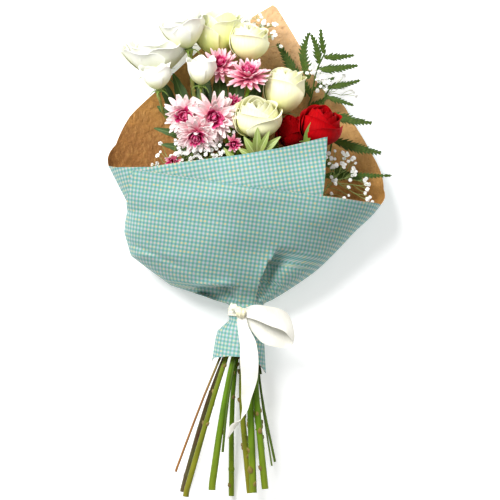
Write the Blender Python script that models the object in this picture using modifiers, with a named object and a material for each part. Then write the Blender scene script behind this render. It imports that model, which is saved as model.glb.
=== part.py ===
"""A hand-tied bouquet in a paper wrap with a ribbon, lying on its back.

Lengths are in millimetres and become metres where a mesh is made. +Y runs from the cut ends to the
blooms, +X is right for someone who looks down on the bunch, and +Z is up, away from the table.
"""

import math
import random

import bmesh
import bpy
import numpy as np
from mathutils import Matrix, Vector
from mathutils.bvhtree import BVHTree

MM = 0.001

# Driving dimensions.
TIE = Vector((-2.0, -69.0, 33.0))  # middle of the bound stems
NECK_LOW, NECK_HIGH = -78.0, -60.0  # the straight neck of the wrap runs between these heights
BUNDLE_RADIUS = 13.3
PAPER = 0.9
PAPER_NECK = 16.9  # outer radius of the first layer at the neck
PAPER_TURN = 1.7  # how much further out each turn of the wrap lies at the neck
PAPER_LOOSE = 2.6  # and how much more than that where the wrap is wide
PETAL = 0.8
BLADE = 0.7
RIBBON = 0.9
GAP = 0.35  # between a bloom and the green cup that carries it
CLEAR = 0.9  # between blades of neighbouring plants
SEED = 11
STEM_STEP = 4.0  # between the heights at which stems are laid out
STEM_GAP = 0.75  # between neighbouring stems

# The wrap. Each height has the section's middle, its half width, and the same for its depth.
SECTIONS = {
    # y: (middle x, half width, middle z, half depth)
    -124: (-12.5, 29.0, 33.0, 23.0),
    -98: (-7.0, 21.0, 33.0, 19.5),
    NECK_LOW: (TIE.x, PAPER_NECK, TIE.z, PAPER_NECK),
    NECK_HIGH: (TIE.x, PAPER_NECK, TIE.z, PAPER_NECK),
    -55: (0.0, 25.0, 34.0, 19.0),
    -39: (-16.5, 67.0, 36.0, 31.0),
    -22: (-15.5, 89.0, 39.0, 38.0),
    -6: (-17.0, 107.0, 41.0, 44.0),
    20: (-8.0, 122.0, 47.0, 50.0),
    43: (5.0, 132.0, 51.5, 54.5),
    60: (6.0, 142.0, 54.0, 57.0),
    93: (2.0, 155.0, 55.0, 58.0),
    150: (1.0, 163.0, 55.0, 58.0),
    275: (8.0, 170.0, 55.0, 58.0),
}
# Heights of the paper's edge by the turn in degrees: 0 is right, 90 the top, 180 left, 270 the table.
FLAP_START = 58.0
RIM = {
    58: 124.0, 78: 111.5, 94: 104.0, 111: 98.5, 135: 91.0, 160: 91.0, 176: 93.0, 188: 104.0,
    202: 117.0, 216: 148.0, 230: 175.0, 250: 225.0, 264: 251.0, 277: 274.5, 288: 227.0, 296: 187.0,
    301: 173.0, 309: 161.0, 316: 137.0, 326: 109.5, 346: 67.0, 356: 58.0, 364: 50.0, 392: 53.5,
    417: 60.0, 447: 69.0, 472: 79.0, 492: 85.5, 503: 87.5,
}
HEM = {58: -132.0, 120: -110.0, 180: -124.0, 260: -114.0, 340: -120.0, 368: -136.0, 400: -116.0,
       450: -110.0, 503: -123.0}
# The outer flap's free edge slants: the turn at which it ends, by height.
FLAP_END = {-124: 545.0, 0: 548.0, 20: 544.0, 43: 531.0, 65: 514.0, 88: 503.0}
FIXED_ROWS = (-98, NECK_LOW, NECK_HIGH, -55, -39, -22, -6, 20, 43)
RIM_ROWS = (0.5, 1.0)
COLUMN_STEP = 20.0

# Stems. Each passes the tie at its own slot, spreads below it and ends in a cut.
# name: (slot turn, slot distance, radius, x where the stems leave the wrap, cut end)
STEMS = {
    "rose_cream_top": (0, 0.0, 2.5, -10.0, (1.6, -270.0, 22.0)),
    "rose_cream_front": (60, 6.2, 2.9, 1.3, (5.3, -269.0, 36.0)),
    "rose_cream_right": (300, 6.2, 2.5, 0.0, (4.0, -226.0, 6.0)),
    "rose_cream_wide": (240, 5.5, 2.2, -18.0, (-19.0, -274.0, 6.0)),
    "rose_red_inner": (0, 6.1, 2.5, 4.0, (15.0, -222.0, 20.0)),
    "rose_red_outer": (30, 10.5, 2.7, 6.5, (18.5, -264.6, 38.0)),
    "lisianthus": (180, 5.3, 2.0, -38.5, (-74.0, -269.0, 8.0)),
    "mum_left": (150, 10.4, 2.3, -33.0, (-70.5, -273.0, 32.0)),
    "mum_middle": (120, 6.2, 2.8, -23.0, (-41.0, -265.6, 40.0)),
    "fern_upper": (316, 12.0, 1.2, 4.0, (12.0, -134.0, 20.0)),
    "fern_middle": (334, 12.0, 1.2, 8.0, (14.0, -138.0, 26.0)),
    "fern_lower": (5, 11.8, 1.4, 10.0, (29.5, -235.0, 30.0)),
    "breath_top": (240, 12.3, 0.9, -16.0, (-20.0, -140.0, 18.0)),
    "breath_upper": (299, 12.3, 0.9, -2.0, (7.0, -130.0, 18.0)),
    "breath_right": (349, 12.3, 0.9, 11.0, (26.0, -240.0, 20.0)),
    "breath_left": (181, 12.2, 1.1, -42.5, (-81.0, -246.0, 26.0)),
    "leafy_sprig": (96, 11.8, 1.3, -21.0, (-28.6, -223.6, 47.0)),
}
LEAVES_WRAP = -143.0  # the height at which the stems are that far apart
HEIGHTS = np.arange(-280.0, 270.0, STEM_STEP)

# Roses. name: (base, axis, radius, height, petals by layer, points between tie and bloom, colour)
ROSES = {
    "rose_cream_top": ((0.5, 208, 54), (0.02, 0.95, 0.3), 20, 40, (3, 4), [(-2, 60, 40)], "cream"),
    "rose_cream_front": ((11, 124, 76), (-0.05, 0.74, 0.67), 25, 42, (2, 3, 3), [(9, 50, 62)], "cream"),
    "rose_cream_right": ((37, 149, 56), (0.1, 0.97, 0.22), 21, 50, (2, 3, 3), [(22, 55, 42)], "cream"),
    "rose_cream_wide": ((-34, 213, 33), (-0.06, 0.97, 0.22), 25, 44, (3, 4), [(-16, 60, 26)], "cream"),
    "rose_red_inner": ((46.5, 112.5, 54), (0.0, 0.92, 0.4), 16, 37, (2, 4), [(27, 50, 47)], "red"),
    "rose_red_outer": ((74, 115, 77), (0.22, 0.84, 0.5), 22, 44, (2, 3, 3), [(42, 45, 62)], "red"),
}

# Lisianthus blooms: name, base, axis, radius, height, petals by layer, points from the branching.
LISIANTHUS_FORK = (-34.0, 78.0, 36.0)
LISIANTHUS = [
    ("lisianthus_wide", (-100, 194, 36), (-0.1, 0.95, 0.25), 25, 38, (3, 4), [(-78, 140, 34)]),
    ("lisianthus_top", (-66, 222, 60), (-0.25, 0.93, 0.25), 18, 34, (2, 4), [(-62, 160, 46)]),
    ("lisianthus_cup", (-52, 181, 72), (0.02, 0.95, 0.3), 13, 30, (3, 3), [(-52, 140, 54)]),
    ("lisianthus_left", (-99, 176, 74), (-0.12, 0.95, 0.28), 14, 27, (3, 3), [(-76, 130, 56)]),
]

# Chrysanthemums: name, middle of the bloom, the way it faces, radius, rings of petals.
FULL_RINGS = ((10, 1.0, 9), (6, 0.86, 32), (4, 0.6, 60))
SMALL_RINGS = ((7, 1.0, 26), (3, 0.75, 60))
MUM_STEMS = {
    "mum_left": ((-40.0, 70.0, 60.0), [
        ("mum_left_upper", (-72, 152, 70), (-0.4, 0.25, 0.88), 24, FULL_RINGS, [(-64, 118, 58)]),
        ("mum_left_front", (-56, 125, 92), (-0.12, -0.25, 0.96), 24, FULL_RINGS, [(-52, 100, 74)]),
        ("mum_left_bud", (-81, 97, 76), (-0.3, -0.1, 0.95), 11, SMALL_RINGS, [(-64, 88, 64)]),
        ("mum_top_left", (-31, 201, 60), (0.0, 0.55, 0.83), 19, FULL_RINGS, [(-44, 140, 48), (-34, 180, 44)]),
    ]),
    "mum_middle": ((-16.0, 72.0, 60.0), [
        ("mum_middle_upper", (-38, 151, 82), (0.08, 0.25, 0.96), 27, FULL_RINGS, [(-32, 118, 64)]),
        ("mum_middle_bud", (-18, 160, 64), (0.25, 0.5, 0.83), 12, SMALL_RINGS, [(-20, 126, 56)]),
        ("mum_front_bud", (-17, 117, 91), (0.15, -0.15, 0.97), 11, SMALL_RINGS, [(-16, 100, 72)]),
        ("mum_top_right", (0, 187, 78), (0.0, 0.8, 0.6), 22, FULL_RINGS, [(-9, 130, 55), (-4, 165, 60)]),
    ]),
}

# Fern fronds: the points of the rib from the tie, then each leaflet as (root, tip, width).
FERNS = {
    "fern_upper": ([(40, 90, 18), (70, 170, 24), (76, 200, 28), (85, 219, 34)], [
        ((73, 190, 26), (65, 240, 22), 13), ((76, 206, 29), (71, 242, 30), 8),
        ((84, 218, 33), (80, 246, 36), 8), ((84, 214, 32), (118, 216, 34), 9),
        ((77, 200, 28), (122, 205, 30), 11), ((66, 160, 23), (33, 231, 14), 11),
    ]),
    "fern_middle": ([(52, 80, 24), (80, 140, 30), (86, 172, 34), (92, 182, 36)], [
        ((88, 180, 35), (124, 188, 40), 10), ((86, 170, 33), (117, 160, 38), 8),
    ]),
    "fern_lower": ([(58, 55, 38), (84, 90, 44), (92, 120, 50), (90, 152, 56)], [
        ((90, 150, 55), (137, 140, 60), 13), ((93, 122, 50), (147, 107, 58), 14),
        ((86, 95, 45), (126, 76, 52), 10), ((78, 82, 43), (158, 82, 66), 10),
    ]),
}

# Baby's breath: the main stem's points, then the twig ends, each with some florets round it.
BREATH = {
    "breath_top": ([(-24, 60, 14), (-14, 150, 12), (-4, 210, 16), (2, 248, 22)], [
        ((-5, 264, 30), 1), ((0, 253, 34), 2), ((12, 257, 26), 2), ((25, 250, 28), 2), ((31, 237, 28), 1),
        ((36, 226, 26), 1), ((48, 194, 22), 1),
    ]),
    "breath_upper": ([(34, 60, 18), (64, 120, 16), (82, 160, 20), (86, 178, 26)], [
        ((70, 196, 36), 2), ((80, 190, 42), 3), ((79, 199, 28), 1), ((90, 174, 30), 1), ((101, 188, 20), 1),
        ((117, 175, 26), 1),
    ]),
    "breath_right": ([(46, 20, 40), (72, 50, 54), (92, 76, 60)], [
        ((94, 106, 70), 1), ((110, 103, 64), 2), ((92, 93, 74), 2), ((117, 93, 58), 1), ((114, 82, 64), 2),
        ((129, 77, 62), 1), ((131, 67, 66), 1), ((110, 66, 70), 1), ((93, 73, 78), 1), ((105, 57, 74), 1),
        ((136, 55, 70), 1),
    ]),
    "breath_left": ([(-52, 20, 40), (-76, 60, 60), (-84, 86, 66)], [
        ((-98, 106, 60), 2), ((-97, 117, 52), 1), ((-100, 96, 64), 1), ((-80, 110, 84), 2),
        ((-72, 98, 88), 1), ((-62, 106, 84), 1), ((-45, 101, 86), 1), ((-34, 103, 88), 2), ((-28, 124, 84), 1),
    ]),
}

SPRIG = ([(0, 40, 76), (6, 90, 92), (8, 104, 98)], [
    ((7, 100, 97), (-2, 121, 106), 9), ((8, 103, 98), (8, 122, 112), 8), ((9, 102, 97), (22, 116, 110), 9),
    ((5, 88, 91), (-22, 107, 85), 8),
])

COLOURS = {
    "cream": (0.93, 0.87, 0.66), "red": (0.50, 0.02, 0.03), "white": (0.94, 0.95, 0.86),
    "pink": (0.93, 0.56, 0.66), "stem": (0.24, 0.40, 0.10), "fern": (0.10, 0.24, 0.05),
    "breath": (0.93, 0.94, 0.88), "leaf": (0.45, 0.60, 0.22), "paper": (0.42, 0.68, 0.70),
    "ribbon": (0.90, 0.86, 0.78), "binding": (0.75, 0.64, 0.44),
}


def clear_scene():
    for old in list(bpy.data.objects):
        bpy.data.objects.remove(old, do_unlink=True)


def material(name):
    made = bpy.data.materials.get(name) or bpy.data.materials.new(name)
    made.use_nodes = True
    shader = made.node_tree.nodes["Principled BSDF"]
    shader.inputs["Base Color"].default_value = (*COLOURS[name], 1)
    shader.inputs["Roughness"].default_value = 0.35 if name == "ribbon" else 0.6
    return made


def add_object(name, mesh, holder):
    made = bpy.data.objects.new(name, mesh)
    holder.objects.link(made)
    return made


def through(points, steps):
    """A smooth line through the points (Catmull-Rom), with that many steps between each two."""
    line = [Vector(p) for p in points]
    line = [line[0] * 2 - line[1], *line, line[-1] * 2 - line[-2]]
    found = [line[1]]
    for a, b, c, d in zip(line, line[1:], line[2:], line[3:]):
        for step in range(1, steps + 1):
            t = step / steps
            found.append(0.5 * (2 * b + (c - a) * t + (2 * a - 5 * b + 4 * c - d) * t**2
                                + (3 * b - a - 3 * c + d) * t**3))
    return found


def facing(axis, place):
    """The matrix that stands a shape made along +Z on place, along axis."""
    turn = Vector(axis).normalized().to_track_quat("Z", "Y")
    return Matrix.Translation(Vector(place)) @ turn.to_matrix().to_4x4()


class Plant:
    """Closed shapes that one union joins into a node."""

    def __init__(self, name, colour):
        self.name, self.colour, self.pieces = name, colour, []

    def add(self, piece):
        if piece:
            self.pieces.append(piece)
        return piece

    def tube(self, points, radii, level=1):
        """A stem along the points: a curve with a bevel and filled caps, made a mesh."""
        curve = bpy.data.curves.new("tube", "CURVE")
        curve.dimensions, curve.bevel_depth = "3D", MM
        curve.bevel_resolution, curve.use_fill_caps = level, True
        spline = curve.splines.new("POLY")
        spline.points.add(len(points) - 1)
        for target, point, radius in zip(spline.points, points, radii):
            target.co = (*(Vector(point) * MM), 1)
            target.radius = radius
        drawn = add_object("tube", curve, WORKSHOP)
        mesh = bpy.data.meshes.new_from_object(drawn.evaluated_get(bpy.context.evaluated_depsgraph_get()))
        bpy.data.objects.remove(drawn)
        bpy.data.curves.remove(curve)
        weld(mesh)
        return self.add(add_object("stem", mesh, WORKSHOP))

    def solid(self, shape, place=Matrix()):
        """A closed bmesh, in millimetres, put in its place."""
        shape.transform(Matrix.Scale(MM, 4) @ place)
        mesh = bpy.data.meshes.new("solid")
        shape.to_mesh(mesh)
        shape.free()
        return self.add(add_object("solid", mesh, WORKSHOP))

    def sheet(self, rows, thickness, place=Matrix()):
        """A thin closed blade on rows of points, where a row may be a single point."""
        points, faces = blade(rows)
        mesh = bpy.data.meshes.new("sheet")
        mesh.from_pydata([place @ Vector(p) * MM for p in points], [], faces)
        made = add_object("sheet", mesh, WORKSHOP)
        wall = made.modifiers.new("thickness", "SOLIDIFY")
        wall.thickness, wall.offset = thickness * MM, 0
        return self.add(made)

    def fitted(self, make, tries, own=()):
        """The first of the tries whose blade stays clear of the other plants."""
        for value in tries:
            rows, thickness, place = make(value)
            points, faces = blade(rows)
            points = [place @ Vector(p) for p in points]
            if is_clear(points, faces, own):
                return self.sheet(rows, thickness, place)
        return None

    def join(self):
        """Unites the pieces, keeps the one outer body and notes it as an obstacle."""
        first, rest = self.pieces[0], self.pieces[1:]
        if rest:
            group = bpy.data.collections.new("repeats")
            WORKSHOP.children.link(group)
            for piece in rest:
                group.objects.link(piece)
            join = first.modifiers.new("join", "BOOLEAN")
            join.operation, join.solver = "UNION", "MANIFOLD"
            join.operand_type, join.collection = "COLLECTION", group
        mesh = bpy.data.meshes.new_from_object(first.evaluated_get(bpy.context.evaluated_depsgraph_get()))
        if rest:
            bpy.data.collections.remove(group)
        for piece in self.pieces:
            bpy.data.objects.remove(piece)
        keep_outer_body(mesh)
        mesh.materials.clear()
        mesh.materials.append(material(self.colour))
        mesh.shade_smooth()
        mesh.set_sharp_from_angle(angle=math.radians(40))
        mesh.name = self.name
        made = add_object(self.name, mesh, BOUQUET)
        note_obstacle(made)
        return made


def weld(mesh):
    shape = bmesh.new()
    shape.from_mesh(mesh)
    bmesh.ops.remove_doubles(shape, verts=shape.verts, dist=0.00001)
    shape.to_mesh(mesh)
    shape.free()


def blade(rows):
    """Points and triangles of an open surface on rows of points, where a row may be one point."""
    points, faces, start = list(rows[0]), [], 0
    for below, above in zip(rows, rows[1:]):
        a, b = start, start + len(below)
        points += list(above)
        if len(above) == 1:
            faces += [(a + i, a + i + 1, b) for i in range(len(below) - 1)]
        elif len(below) == 1:
            faces += [(a, b + i + 1, b + i) for i in range(len(above) - 1)]
        else:
            for i in range(len(below) - 1):
                faces += [(a + i, a + i + 1, b + i + 1), (a + i, b + i + 1, b + i)]
        start = b
    return points, faces


def islands(shape):
    """The separate bodies of a bmesh, as lists of faces."""
    left, found = set(shape.faces), []
    while left:
        body, queue = [], [left.pop()]
        while queue:
            face = queue.pop()
            body.append(face)
            for edge in face.edges:
                for other in edge.link_faces:
                    if other in left:
                        left.remove(other)
                        queue.append(other)
        found.append(body)
    return found


def volume_of(body):
    total = 0.0
    for face in body:
        a = face.verts[0].co
        for b, c in zip(face.verts[1:], face.verts[2:]):
            total += a.dot(b.co.cross(c.co)) / 6
    return total


def keep_outer_body(mesh):
    """Drops loose scraps and sealed hollows, and leaves the largest body in triangles."""
    shape = bmesh.new()
    shape.from_mesh(mesh)
    bmesh.ops.triangulate(shape, faces=shape.faces)
    bodies = sorted(islands(shape), key=volume_of)
    for body in bodies[:-1]:
        bmesh.ops.delete(shape, geom=body, context="FACES")
    loose = [v for v in shape.verts if not v.link_faces]
    bmesh.ops.delete(shape, geom=loose, context="VERTS")
    shape.to_mesh(mesh)
    shape.free()


def note_obstacle(made):
    shape = bmesh.new()
    shape.from_mesh(made.data)
    OBSTACLES[made.name] = BVHTree.FromBMesh(shape)
    shape.free()


def is_clear(points, faces, own=()):
    """Whether a blade, given in millimetres, stays clear of every node made so far."""
    points = [p * MM for p in points]
    tree = BVHTree.FromPolygons(points, faces)
    probes = points + [(points[a] + points[b]) / 2 for face in faces for a, b in zip(face, face[1:])]
    for name, other in OBSTACLES.items():
        if tree.overlap(other):
            return False
        if name not in own and any(other.find_nearest(p, CLEAR * MM)[0] is not None for p in probes):
            return False
    return min(p.z for p in points) > (PETAL + PAPER) * MM


def ball(radius, height, middle, segments=8, rings=5):
    shape = bmesh.new()
    bmesh.ops.create_uvsphere(shape, u_segments=segments, v_segments=rings, radius=1)
    shape.transform(Matrix.Translation((0, 0, middle)) @ Matrix.Diagonal((radius, radius, height, 1)))
    return shape


def cone(low, high, bottom, top, segments=8):
    shape = bmesh.new()
    bmesh.ops.create_cone(shape, cap_ends=True, segments=segments, radius1=low, radius2=high,
                          depth=top - bottom)
    shape.transform(Matrix.Translation((0, 0, (top + bottom) / 2)))
    return shape


def slot_of(name):
    """Where a stem passes the tie, from the middle of the bunch."""
    turn, distance = math.radians(STEMS[name][0]), STEMS[name][1]
    return Vector((distance * math.cos(turn), 0, distance * math.sin(turn)))


def stem_line(name, above, base=None, axis=None):
    """A stem's points from its cut end through its slot in the tie and the points above to the bloom."""
    slot, end, leaves = slot_of(name), Vector(STEMS[name][4]), STEMS[name][3]
    low = TIE + slot + Vector((0, NECK_LOW - 3 - TIE.y, 0))
    high = TIE + slot * 1.03 + Vector((0, NECK_HIGH + 4 - TIE.y, 0))
    line = [end, low, high, *[Vector(p) for p in above]]
    if end.y < LEAVES_WRAP - 20:
        share = (LEAVES_WRAP - low.y) / (end.y - low.y)
        line.insert(1, Vector((leaves, LEAVES_WRAP, low.z + (end.z - low.z) * share + slot.z * 0.2)))
    if base is not None:
        line += [Vector(base) - Vector(axis).normalized() * 12, Vector(base)]
    return through(line, 12)


def thinned(line, within=0.3):
    """The line with only the points that its bends need."""
    keep, spans = {0, len(line) - 1}, [(0, len(line) - 1)]
    while spans:
        a, b = spans.pop()
        if b - a < 2:
            continue
        run, rest = line[b] - line[a], line[a + 1:b] - line[a]
        off = np.linalg.norm(rest - np.outer(rest @ run / (run @ run), run), axis=1)
        if off.max() > within:
            far = a + 1 + int(off.argmax())
            keep.add(far)
            spans += [(a, far), (far, b)]
    return line[sorted(keep)]


class Line:
    """A stem or branch on its way to its bloom, kept as one point at each height it passes."""

    def __init__(self, plant, points, radius, bloom=None, slot=None):
        points = np.array([tuple(p) for p in points])
        self.plant, self.radius, self.bloom, self.slot = plant, radius, bloom, slot
        first, last = points[0, 1], points[-1, 1]
        inner = HEIGHTS[(HEIGHTS > first + 1.5) & (HEIGHTS < last - 1.5)]
        self.start = int(np.searchsorted(HEIGHTS, inner[0]))
        rising = np.maximum.accumulate(points[:, 1])
        self.inner = np.stack([np.interp(inner, rising, points[:, k]) for k in (0, 2)], axis=1)
        self.ends = points[[0, -1]]

    @property
    def points(self):
        heights = HEIGHTS[self.start:self.start + len(self.inner)]
        line = np.stack([self.inner[:, 0], heights, self.inner[:, 1]], axis=1)
        return np.concatenate([self.ends[:1], line, self.ends[1:]])


def settle(lines, blooms, rounds=160):
    """Moves the lines apart, height by height, where they or a bloom that isn't theirs would cross."""
    count = len(lines)
    spots = np.zeros((count, len(HEIGHTS), 2))
    there, held = np.zeros((count, len(HEIGHTS)), bool), np.zeros((count, len(HEIGHTS)), bool)
    for i, line in enumerate(lines):
        span = slice(line.start, line.start + len(line.inner))
        spots[i], there[i, span] = line.inner[0], True
        spots[i, span] = line.inner
        held[i, span.stop - 2:span.stop] = line.bloom is not None
        held[i, span.start:span.start + 2] |= line.slot is None
    radius = np.array([line.radius for line in lines])
    rivals = np.array([[a.plant != b.plant for b in lines] for a in lines])[:, :, None]
    rivals = rivals & there[:, None] & there[None, :]
    neck = (HEIGHTS > NECK_LOW - 6) & (HEIGHTS < NECK_HIGH + 6)
    free = there & ~held
    for _ in range(rounds):
        slant = np.clip(1 + 0.5 * np.gradient(spots, STEM_STEP, axis=1)**2 @ np.ones(2), 1, 1.2)
        away = spots[:, None] - spots[None, :]
        far = np.linalg.norm(away, axis=3)
        need = (radius[:, None, None] + radius[None, :, None]) * np.maximum(slant[:, None], slant[None, :])
        short = np.where(rivals, np.clip(need + STEM_GAP - far, 0, None), 0)
        move = (away / np.maximum(far, 0.01)[..., None] * (short * 0.35)[..., None]).sum(axis=1)
        for name, middle, reach in blooms:
            out = np.stack([spots[..., 0], np.broadcast_to(HEIGHTS, there.shape), spots[..., 1]], axis=2) - middle
            off = np.linalg.norm(out, axis=2)
            push = np.clip(reach + radius[:, None] - off, 0, 8)
            push[[line.bloom == name for line in lines]] = 0
            move += (out[..., [0, 2]] / np.maximum(off, 0.01)[..., None]) * (push * 0.4)[..., None]
        spots[free] += np.clip(move, -1.5, 1.5)[free]
        mean = 0.5 * spots[:, 1:-1] + 0.25 * (spots[:, :-2] + spots[:, 2:])
        inner = free[:, 1:-1] & there[:, :-2] & there[:, 2:]
        spots[:, 1:-1][inner] = mean[inner]
        for i, line in enumerate(lines):
            if line.slot is not None:
                spots[i, neck] = in_neck(spots[i, neck], line)
        inside_wrap(spots, radius, free)
    for i, line in enumerate(lines):
        line.inner = spots[i, line.start:line.start + len(line.inner)]


def in_neck(spots, line):
    """Keeps a stem inside the binding, and an outer one against it."""
    middle = np.array([TIE.x, TIE.z])
    out, wall = spots - middle, BUNDLE_RADIUS - line.radius
    off = np.maximum(np.linalg.norm(out, axis=1), 0.01)
    want = np.full(len(off), wall) if line.slot > 10 else np.minimum(off, wall)
    return middle + out * (want / off)[:, None]


def inside_wrap(spots, radius, free):
    """Keeps the lines off the wall of the wrap and off the table."""
    middle_x, wide, middle_z, deep = (table({k: v[i] for k, v in SECTIONS.items()}, HEIGHTS) for i in range(4))
    room = radius[:, None] + PAPER + 1.2
    across, up = (spots[..., 0] - middle_x) / (wide - room), (spots[..., 1] - middle_z) / (deep - room)
    over = np.hypot(across, up)
    out = (HEIGHTS > -128) & (over > 1) & free
    spots[out] = np.stack([middle_x + across / over * (wide - room),
                           middle_z + up / over * (deep - room)], axis=2)[out]
    floor = radius[:, None] + np.where(HEIGHTS > -128, PAPER + 0.8, 0.5)
    spots[..., 1] = np.where(free, np.maximum(spots[..., 1], floor), spots[..., 1])


def cup_petal(radius, height, turn, spread, reach, lip, across):
    """One cupped petal round +Z: its rows go from the root, inside the bud, to the lip."""
    rows = []
    profile = [(0.16, 0.14, 0.3), (0.46, 0.86 * reach, 0.98), (1.0, reach + lip, 0.62)]
    if lip > 0.1:
        profile = [(0.16, 0.14, 0.3), (0.42, 0.80 * reach, 0.94), (0.76, reach, 1.0), (1.0, reach + lip, 0.58)]
    for up, out, width in profile:
        row = []
        for side in across:
            angle = turn + side * spread * width
            distance = radius * (out + 0.07 * side * (up > 0.2))
            droop = 0.07 * height * (1 - side**2) * up
            row.append((distance * math.cos(angle), distance * math.sin(angle), height * up + droop))
        rows.append(row)
    return rows


LAYERS = {
    2: ((0.52, 1.0, 68, 0.02), (0.95, 0.88, 52, 0.14)),
    3: ((0.45, 1.0, 78, 0.0), (0.70, 0.97, 62, 0.05), (0.98, 0.86, 50, 0.16)),
}


def cup_bloom(name, base, axis, radius, height, counts, colour, carrier):
    """A rose or lisianthus bloom: a bud with petals round it in layers."""
    place, plant = facing(axis, base), Plant(name, colour)
    plant.solid(ball(0.38 * radius, 0.40 * height, GAP + 0.40 * height, 6, 4), place)
    for layer, (count, (reach, tall, spread, lip)) in enumerate(zip(counts, LAYERS[len(counts)])):
        across = (-1, -0.35, 0.35, 1) if radius > 19 and layer == len(counts) - 1 else (-1, 0, 1)
        for index in range(count):
            turn = math.tau * (index / count + 0.31 * layer) + 0.4
            plant.fitted(
                lambda size: (cup_petal(radius * size, height * tall, turn, math.radians(spread), reach, lip,
                                        across), PETAL, place),
                (1.0, 0.93, 0.86, 0.79, 0.72, 0.64), own=(carrier,))
    return plant.join()


def mum_petal(radius, turn, length, rise, core):
    """One pointed petal: narrow where it leaves the core, widest past the middle."""
    rise = math.radians(rise)
    root = Vector((CORE_WIDE * radius * math.cos(rise), CORE_HIGH * radius * math.sin(rise))) * 0.75
    rows = []
    for along, width in ((0.0, 0.0), (0.5, 0.125), (1.0, 0.0)):
        out = root.x + along * (length - root.x) * math.cos(rise)
        up = core + root.y + along * length * math.sin(rise) - 0.10 * length * along**3
        middle = Vector((out * math.cos(turn), out * math.sin(turn), up))
        side = Vector((-math.sin(turn), math.cos(turn), 0)) * width * radius
        rows.append([middle - side, middle + side] if width else [middle])
    return rows


CORE_WIDE, CORE_HIGH = 0.28, 0.22  # of the bloom's radius


def mum_bloom(name, middle, normal, radius, rings, carrier):
    """A chrysanthemum: rings of pointed petals on a low core."""
    plant, place = Plant(name, "pink"), facing(normal, middle)
    core = GAP + CORE_HIGH * radius
    plant.solid(ball(CORE_WIDE * radius, CORE_HIGH * radius, core, 6, 4), place)
    for ring, (count, length, rise) in enumerate(rings):
        for index in range(count):
            turn = math.tau * (index + 0.5 * ring) / count
            plant.fitted(
                lambda move: (mum_petal(radius, turn, length * radius * move[0], rise + move[1], core),
                              BLADE, place),
                ((1, 0), (1, 12), (0.95, 24), (0.85, 10), (0.85, 34), (0.7, 20), (0.6, 45)), own=(carrier,))
    return plant.join()


def sepals(plant, place, count, length, width, fall):
    """Pointed green blades that stand out and down from the cup under a bloom."""
    for index in range(count):
        turn = math.tau * (index + 0.25) / count
        outward = Vector((math.cos(turn), math.sin(turn), 0))
        side = Vector((-outward.y, outward.x, 0)) * width / 2
        rows = []
        for along, half in ((0.1, 1.0), (1.0, 0.0)):
            spot = outward * (2.0 + along * length) + Vector((0, 0, -1.6 - fall * along**1.5 * length))
            rows.append([spot - side * half, spot + side * half] if half else [spot])
        plant.fitted(lambda size: (rows, BLADE, place), (1,), own=())


def rose_stem(name, base, axis):
    """A rose's stem with the cup and five sepals under the bloom."""
    plant, line = Plant(name + "_stem", "stem"), LINES[name]
    points = thinned(line.points)
    plant.tube(points, [line.radius] * len(points))
    place = facing(axis, base)
    plant.solid(cone(line.radius * 0.8, 5.0, -8.0, 0.0, 7), place)
    sepals(plant, place, 5, 13.0, 5.0, 0.5)
    return plant.join()


def branching_stem(name, blooms, sepal):
    """One main stem that forks into a branch for each bloom, with the cup that carries it."""
    plant, main = Plant(name + "_stem", "stem"), LINES[name]
    points = thinned(main.points)
    plant.tube(points, [main.radius] * len(points))
    for bloom, base, axis, size in blooms:
        points = thinned(LINES[bloom].points)
        plant.tube(points, [LINES[bloom].radius] * len(points), 0)
        place = facing(axis, base)
        plant.solid(cone(main.radius * 0.6, size, -size, 0.0, 6), place)
        if sepal:
            sepals(plant, place, sepal, size * 1.6, size * 0.7, 0.8)
    return plant.join()


def branch_line(fork, back, above, base, axis, size):
    """A branch's points from inside the main stem to the cup under its bloom."""
    axis = Vector(axis).normalized()
    top = Vector(base) - axis * size * 0.9
    return through([back, *above, top - axis * 6, top + axis], 12)


def toothed(root, tip, width, teeth, rise=0.08):
    """A fern leaflet: a tapering blade with saw-cut edges, slightly arched."""
    root, tip = Vector(root), Vector(tip)
    along = tip - root
    side = along.cross(Vector((0, 0, 1))).normalized() * width / 2
    lift = side.cross(along).normalized() * along.length * rise
    rows = [[root - side * 0.12, root + side * 0.12]]
    for index in range(teeth):
        for part, cut in ((0.25, 1.0), (0.95, 0.62)):
            share = (index + part) / teeth
            half = side * cut * (1 - share) ** 0.7
            middle = root + along * share - lift * math.sin(math.pi * share)
            rows.append([middle - half, middle + half])
    rows.append([tip])
    return rows


def leaf(root, tip, width, rise=0.12):
    """A plain pointed leaf, widest before its middle."""
    root, tip = Vector(root), Vector(tip)
    along = tip - root
    side = along.cross(Vector((0, 0, 1))).normalized() * width / 2
    lift = side.cross(along).normalized() * along.length * rise
    rows = []
    for share, half in ((0.0, 0.15), (0.3, 0.92), (0.65, 0.8), (1.0, 0.0)):
        middle = root + along * share - lift * math.sin(math.pi * share)
        rows.append([middle - side * half, middle + side * half] if half else [middle])
    return rows


def fern(name, leaflets):
    plant, line = Plant(name, "fern"), LINES[name]
    points = thinned(line.points)
    plant.tube(points, np.linspace(line.radius, line.radius * 0.65, len(points)), 0)
    for root, tip, width in leaflets:
        root = nearest(line.points, root)
        teeth = max(3, round((Vector(tip) - root).length / 13))
        plant.fitted(lambda size: (toothed(root, root.lerp(Vector(tip), size), width * size, teeth),
                                   BLADE, Matrix()), (1, 0.9, 0.8, 0.7, 0.6))
    return plant.join()


def nearest(line, place):
    return Vector(line[np.linalg.norm(line - np.array(place, float), axis=1).argmin()])


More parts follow.
